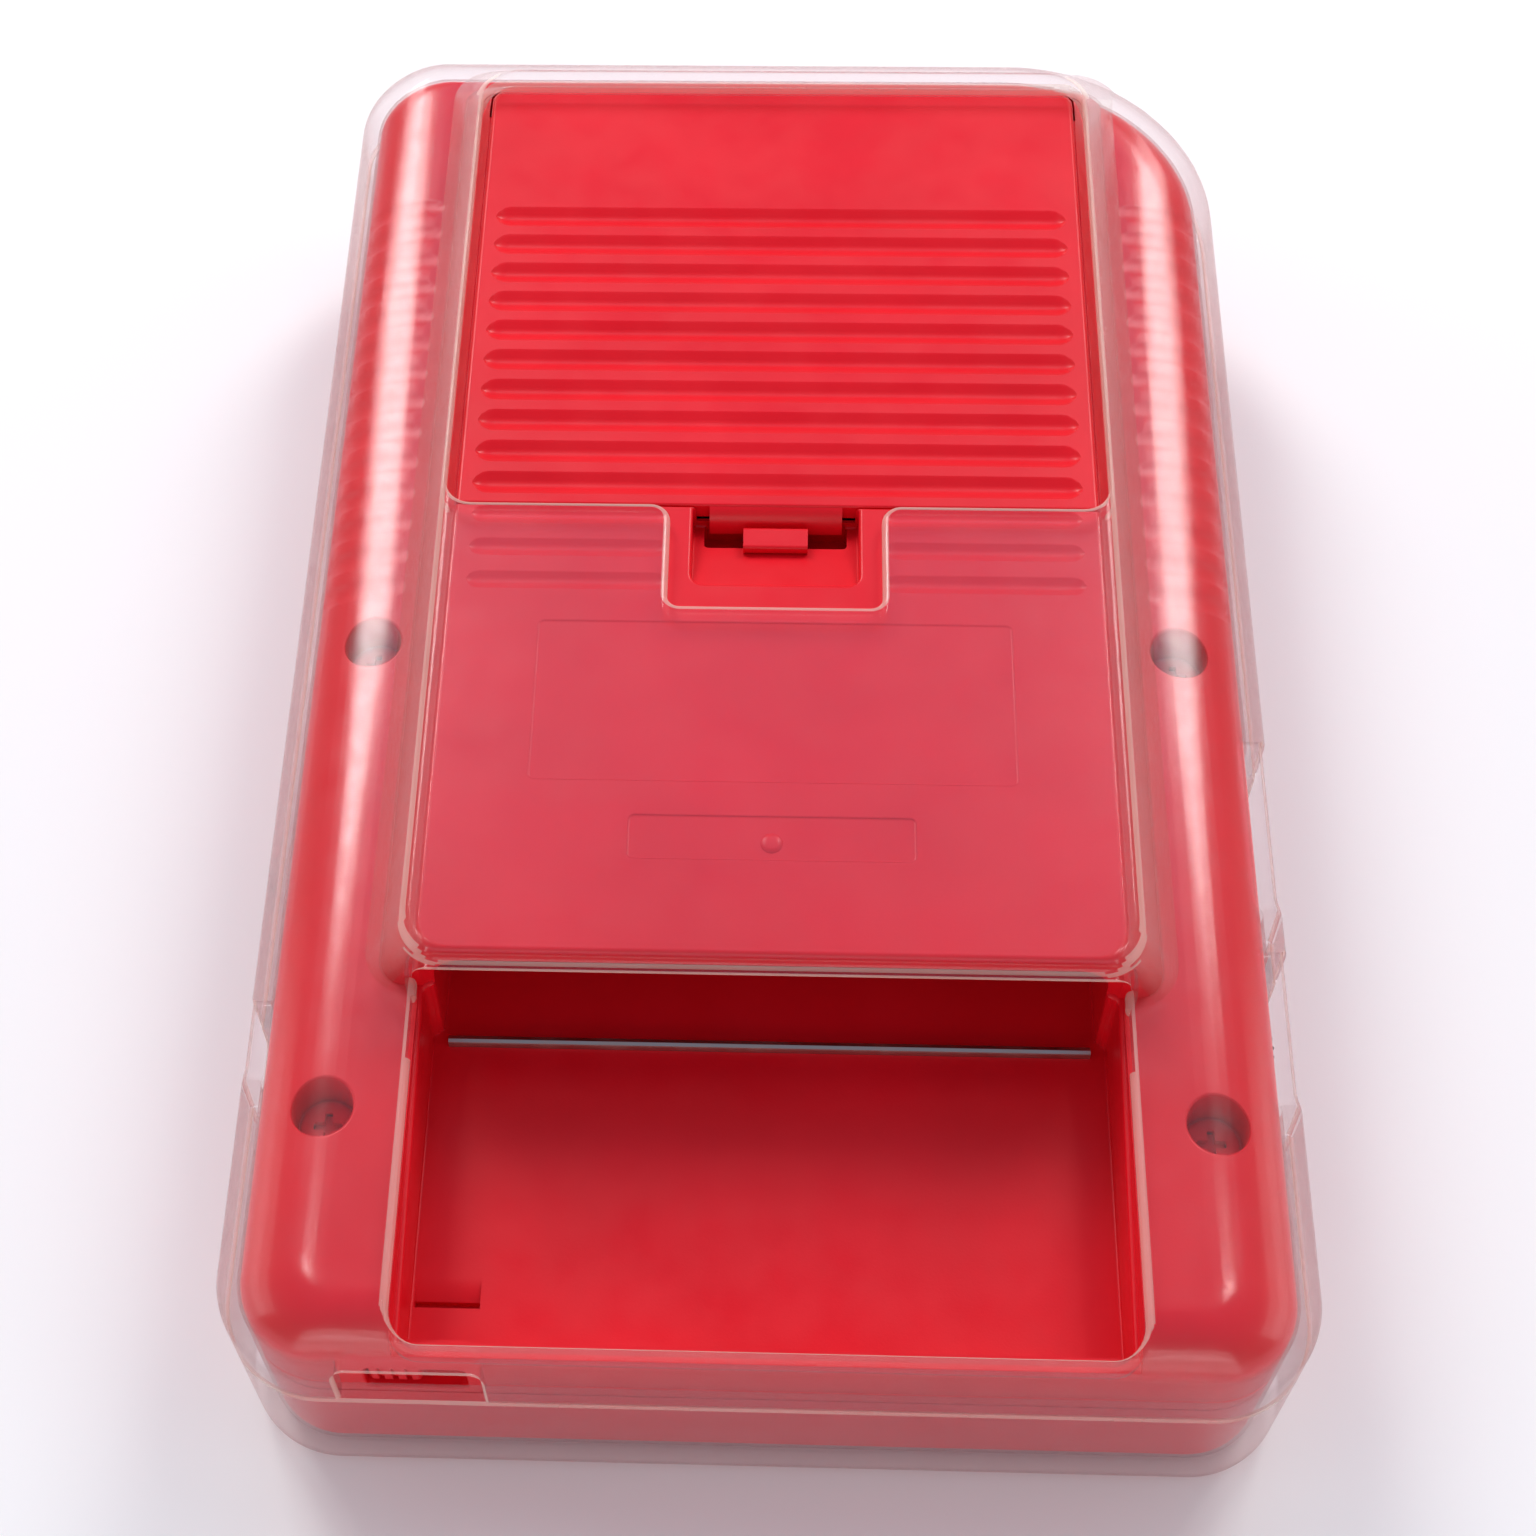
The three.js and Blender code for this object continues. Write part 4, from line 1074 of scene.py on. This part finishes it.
class Nodes:
    """A short way to lay out one material's nodes."""

    def __init__(self, name):
        self.material = bpy.data.materials.new(name)
        self.material.use_nodes = True
        self.tree = self.material.node_tree
        self.tree.nodes.clear()
        self.output = self.node("OutputMaterial")
        self.place = self.node("TexCoord").outputs["Object"]

    def node(self, kind, links=None, **values):
        """A shader node with links by socket, and with settings or socket values by keyword."""
        node = self.tree.nodes.new("ShaderNode" + kind)
        for key, value in values.items():
            if key in node.bl_rna.properties:
                setattr(node, key, value)
            else:
                node.inputs[key.replace("_", " ")].default_value = value
        for socket, source in (links or {}).items():
            self.tree.links.new(source, node.inputs[socket])
        return node

    def noise(self, scale, detail=2.0, roughness=0.5):
        node = self.node("TexNoise", {"Vector": self.place},
                         Scale=scale, Detail=detail, Roughness=roughness)
        return node.outputs["Fac"]

    def ramp(self, source, stops):
        return fill_ramp(self.node("ValToRGB", {"Fac": source}), stops)

    def mottle(self, noise, shade, color):
        return self.ramp(noise, [(0.3, shade), (0.7, color)])

    def spread(self, source, low, high, out_low, out_high):
        node = self.node("MapRange", {"Value": source},
                         From_Min=low, From_Max=high, To_Min=out_low, To_Max=out_high)
        return node.outputs["Result"]

    def bump(self, height, strength, distance, normal=None):
        links = {"Height": height, "Normal": normal} if normal else {"Height": height}
        return self.node("Bump", links, Strength=strength, Distance=distance).outputs["Normal"]

    def power(self, source, exponent):
        node = self.node("Math", {0: source}, operation="POWER")
        node.inputs[1].default_value = exponent
        return node.outputs[0]

    def mix(self, share, first, second):
        return self.node("MixShader", {0: share, 1: first.outputs[0], 2: second.outputs[0]})

    def principled(self, links, **values):
        return self.node("BsdfPrincipled", links, **values)

    def finish(self, shader):
        self.tree.links.new(shader.outputs[0], self.output.inputs["Surface"])
        return self.material


def moulded_plastic(name, color, shade, roughness=0.4, grain=1.0, specular=0.5):
    """Spark-grained moulded plastic: mottled colour, fine grain, and a gloss that varies."""
    n = Nodes(name)
    tint = n.mottle(n.noise(60, 4, 0.6), shade, color)
    fine = n.noise(4500, 2, 0.6)
    wide = n.noise(220, 3, 0.5)
    rough = n.spread(wide, 0.3, 0.7, roughness - 0.05, roughness + 0.07)
    relief = n.bump(fine, 0.16 * grain, 0.00006)
    relief = n.bump(wide, 0.05, 0.0002, relief)
    shader = n.principled({"Base Color": tint, "Roughness": rough, "Normal": relief},
                          Specular_IOR_Level=specular)
    return n.finish(shader)


def clear_sheet(name, haze_and_sheen, edge_haze_and_sheen, haze_and_sheen_colors, tint):
    """A hard clear sheet: shows what lies under it, glosses towards grazing, and has a cloudy diffuse layer:
    faint on the plain case, strong and pale on the rim and flank materials, where it paints highlights and a
    reflection band.
    """
    n = Nodes(name)
    facing = n.node("LayerWeight", Blend=0.5).outputs["Facing"]
    gloss_share = n.spread(n.power(facing, 6.0), 0, 1, 0.028, 0.62)
    haze_and_sheen_share = n.spread(n.power(facing, 3.0), 0, 1, haze_and_sheen, edge_haze_and_sheen)
    relief = n.bump(n.noise(22, 2, 0.4), 0.10, 0.0006)
    rough = n.spread(n.noise(300, 3, 0.6), 0.35, 0.7, 0.13, 0.20)
    through = n.node("BsdfTransparent", {"Color": n.ramp(facing, tint)})
    haze_and_sheen_color = n.mottle(n.noise(90, 3, 0.6), *haze_and_sheen_colors)
    haze_and_sheen_layer = n.node("BsdfDiffuse", {"Color": haze_and_sheen_color, "Normal": relief})
    gloss = n.node("BsdfGlossy", {"Roughness": rough, "Normal": relief}, Color=(1, 1, 1, 1))
    return n.finish(n.mix(gloss_share, n.mix(haze_and_sheen_share, through, haze_and_sheen_layer), gloss))


def bare_metal(name, color, roughness):
    n = Nodes(name)
    fine = n.noise(1500, 3, 0.6)
    rough = n.spread(n.noise(400, 3, 0.6), 0.3, 0.7, roughness - 0.08, roughness + 0.1)
    shader = n.principled({"Roughness": rough, "Normal": n.bump(fine, 0.1, 0.00004)},
                          Base_Color=(*color, 1), Metallic=1.0)
    return n.finish(shader)


RED = moulded_plastic("red_shell_plastic", (0.78, 0.006, 0.016), (0.70, 0.004, 0.012), 0.34, 1.0, 0.30)
DARK = moulded_plastic("dark_moulded_plastic", (0.030, 0.030, 0.034), (0.022, 0.022, 0.025), 0.5)
CLEAR = clear_sheet("clear_case_plastic", 0.008, 0.24,
                    [(0.80, 0.30, 0.34), (0.88, 0.36, 0.40)],
                    [(0.0, (0.995, 0.985, 0.99)), (0.5, (0.97, 0.95, 0.95)), (0.7, (0.86, 0.82, 0.82)),
                     (1.0, (0.74, 0.70, 0.67))])
# Rim faces: a strong pale peach diffuse layer that paints highlight lines along the case's rims and seams.
CLEAR_RIM_HIGHLIGHT = clear_sheet("clear_case_rim_painted_highlight", 0.30, 0.55,
                        [(0.90, 0.66, 0.56), (0.96, 0.76, 0.66)],
                        [(0.0, (0.95, 0.90, 0.88)), (1.0, (0.90, 0.80, 0.75))])
NICKEL = bare_metal("nickel_plate", (0.50, 0.46, 0.42), 0.36)
# Hump flanks: a pale diffuse layer that paints the reflection band seen on the hump's sloped walls.
CLEAR_FLANK_REFLECTION = clear_sheet("clear_case_flank_painted_reflection", 0.01, 0.20,
                          [(0.86, 0.76, 0.73), (0.93, 0.85, 0.82)],
                          [(0.0, (0.97, 0.94, 0.93)), (1.0, (0.88, 0.82, 0.79))])
GOLD = bare_metal("gold_flash", (0.80, 0.60, 0.28), 0.3)
STEEL = bare_metal("contact_steel", (0.66, 0.65, 0.62), 0.28)
# Screw heads in bright red: painted red bounce light and shade seen down their deep wells, made brighter
# against that shade.
SCREW_PAINTED_RED_BOUNCE = moulded_plastic("screw_painted_red_bounce", (0.92, 0.010, 0.030), (0.80, 0.008, 0.022),
                            0.5, 0.8, 0.2)
BUTTON_BLACK = moulded_plastic("button_black", (0.030, 0.030, 0.034), (0.020, 0.020, 0.023), 0.32, 0.6)
BUTTON_RED = moulded_plastic("button_dark_red", (0.20, 0.010, 0.030), (0.15, 0.007, 0.022), 0.28, 0.4)
RUBBER = moulded_plastic("rubber_grey", (0.075, 0.077, 0.085), (0.055, 0.057, 0.062), 0.75, 1.6, 0.3)
BOARD = moulded_plastic("board_green", (0.020, 0.120, 0.040), (0.014, 0.090, 0.030), 0.45, 1.2)
CABLE = moulded_plastic("ribbon_grey", (0.28, 0.28, 0.29), (0.20, 0.20, 0.21), 0.5, 0.8)
LENS_BORDER = moulded_plastic("lens_border", (0.060, 0.064, 0.074), (0.050, 0.053, 0.062), 0.10, 0.0)
WRAP = moulded_plastic("cell_wrap", (0.045, 0.050, 0.060), (0.030, 0.034, 0.042), 0.25, 0.3)
LCD = moulded_plastic("lcd_glass", (0.20, 0.24, 0.12), (0.16, 0.20, 0.10), 0.15, 0.2)
LENS_CLEAR = clear_sheet("lens_window", 0.01, 0.2,
                         [(0.3, 0.3, 0.3), (0.36, 0.36, 0.36)],
                         [(0.0, (0.90, 0.92, 0.90)), (1.0, (0.7, 0.72, 0.7))])


# ---- pieces ----
finished(case_back(), "clear_case_back", [CLEAR, CLEAR_RIM_HIGHLIGHT, CLEAR_FLANK_REFLECTION], "case_back",
         "case_back")
finished(case_front(), "clear_case_front", [CLEAR, CLEAR_RIM_HIGHLIGHT], "case_front")
finished(shell_back(), "red_shell_back", [RED], "shell_back")
finished(shell_front(), "red_shell_front", [RED], "shell_front")
for make in (battery_door, door_latch, power_switch):
    name = make.__name__
    finished(make(), f"red_{name}", [RED], name, name)
finished(metal_strip(), "bay_mouth_strip", [NICKEL], "cartridge_shield")
finished(cartridge_socket(), "cartridge_socket", [DARK, GOLD], "cartridge_connector")
finished(link_socket(), "link_socket", [DARK, GOLD], "link_port")
finished(screen_lens(), "screen_cover", [LENS_BORDER, LENS_CLEAR], "screen_lens")
finished(dpad(), "direction_pad", [BUTTON_BLACK], "dpad", "dpad")
for name in ROUND_BUTTONS:
    finished(round_button(name), f"round_{name}", [BUTTON_RED], name, name)
for name in MENU_BUTTONS:
    finished(menu_button(name), f"soft_{name}", [RUBBER], name, name)
for name in ("volume_wheel", "contrast_wheel"):
    finished(thumb_wheel(name), f"knurled_{name}", [DARK], name, name)
for i in range(1, 7):
    finished(screw(i), f"cross_head_screw_{i}", [SCREW_PAINTED_RED_BOUNCE], f"shell_screw_{i}")
for i in range(1, 5):
    finished(battery_cell(i), f"wrapped_cell_{i}", [WRAP, STEEL], f"battery_cell_{i}")

PLAIN_LOOKS = {
    "board": BOARD, "cable": CABLE, "membrane": RUBBER, "pivot": RUBBER, "lcd": LCD,
    "contact": STEEL, "control": NICKEL, "light": RED,
}
for name, node in frame["nodes"].items():
    look = next((look for word, look in PLAIN_LOOKS.items() if word in name), DARK)
    for i in range(len(node.data.materials)):
        node.data.materials[i] = look


# ---- floor, light and camera ----
LIGHT_AIM = (0, 0, 0.02)
CAMERA_PLACE = Vector((-0.83, -146.6, 236.0)) * MM
CAMERA_PITCH, CAMERA_YAW, CAMERA_ROLL = radians(58.42), -0.07098, -0.04492
SKY = ((0.0, (0.42, 0.40, 0.38)), (0.45, (0.34, 0.34, 0.34)), (1.0, (0.26, 0.29, 0.42)))


def floor():
    n = Nodes("studio_floor_paper")
    tint = n.mottle(n.noise(3, 3, 0.5), (0.90, 0.89, 0.88), (0.94, 0.93, 0.92))
    paper = n.finish(n.principled({"Base Color": tint, "Normal": n.bump(n.noise(900, 2), 0.05, 0.0002)},
                                  Roughness=0.9))
    half, drop = 4000, -0.1
    corners = ((-1, -1), (1, -1), (1, 1), (-1, 1))
    piece = mesh_object("studio_floor", [(half * x, half * y, drop) for x, y in corners], [[0, 1, 2, 3]])
    piece.data.materials.append(paper)


def softbox(name, place, width, height, power, color=(1, 1, 1)):
    """A rectangular lamp, in metres and watts, that faces the middle of the object."""
    light = bpy.data.lights.new(name, "AREA")
    light.shape = "RECTANGLE"
    light.size, light.size_y = width, height
    light.energy = power
    light.color = color
    lamp = placed(name, light)
    lamp.location = place
    lamp.rotation_euler = (Vector(LIGHT_AIM) - Vector(place)).to_track_quat("-Z", "Y").to_euler()


def world():
    """A pale room: warm near the horizon, cooler and dimmer overhead."""
    sky = bpy.data.worlds.new("studio")
    sky.use_nodes = True
    tree = sky.node_tree
    place, split, ramp = [tree.nodes.new("ShaderNode" + kind)
                          for kind in ("TexCoord", "SeparateXYZ", "ValToRGB")]
    tree.links.new(place.outputs["Generated"], split.inputs["Vector"])
    tree.links.new(split.outputs["Z"], ramp.inputs["Fac"])
    tree.links.new(fill_ramp(ramp, SKY), tree.nodes["Background"].inputs["Color"])
    tree.nodes["Background"].inputs["Strength"].default_value = 1.0
    bpy.context.scene.world = sky


def camera():
    """The photograph's view: over the cartridge end, looking down at the back."""
    lens = bpy.data.cameras.new("camera")
    lens.sensor_width = 36
    lens.lens = 61.38
    lens.shift_x = 0.0665
    lens.shift_y = 0.0055
    lens.clip_start = 0.01
    eye = placed("camera", lens)
    turn = Matrix.Rotation(-CAMERA_YAW, 4, "Z") @ Matrix.Rotation(pi / 2 - CAMERA_PITCH, 4, "X")
    eye.matrix_world = Matrix.Translation(CAMERA_PLACE) @ turn @ Matrix.Rotation(CAMERA_ROLL, 4, "Z")
    bpy.context.scene.camera = eye


floor()
for side in (-1, 1):
    softbox(f"side_box_{side}", (side * 0.43, 0.66, 0.72), 0.28, 0.50, 4.9 - 0.3 * side)
    softbox(f"end_strip_{side}", (side * 0.34, 0.19, 0.83), 0.15, 0.04, 0.24)
    softbox(f"side_wall_{side}", (side * 0.90, 0, 0.30), 0.8, 0.5, 1.7)
softbox("near_wall", (0, -0.95, 0.30), 1.0, 0.4, 2.2)
softbox("far_panel", (0, 0.62, 0.76), 0.5, 0.5, 0.38, (0.50, 0.46, 1.0))
world()
camera()
bpy.context.scene.view_settings.view_transform = "Standard"
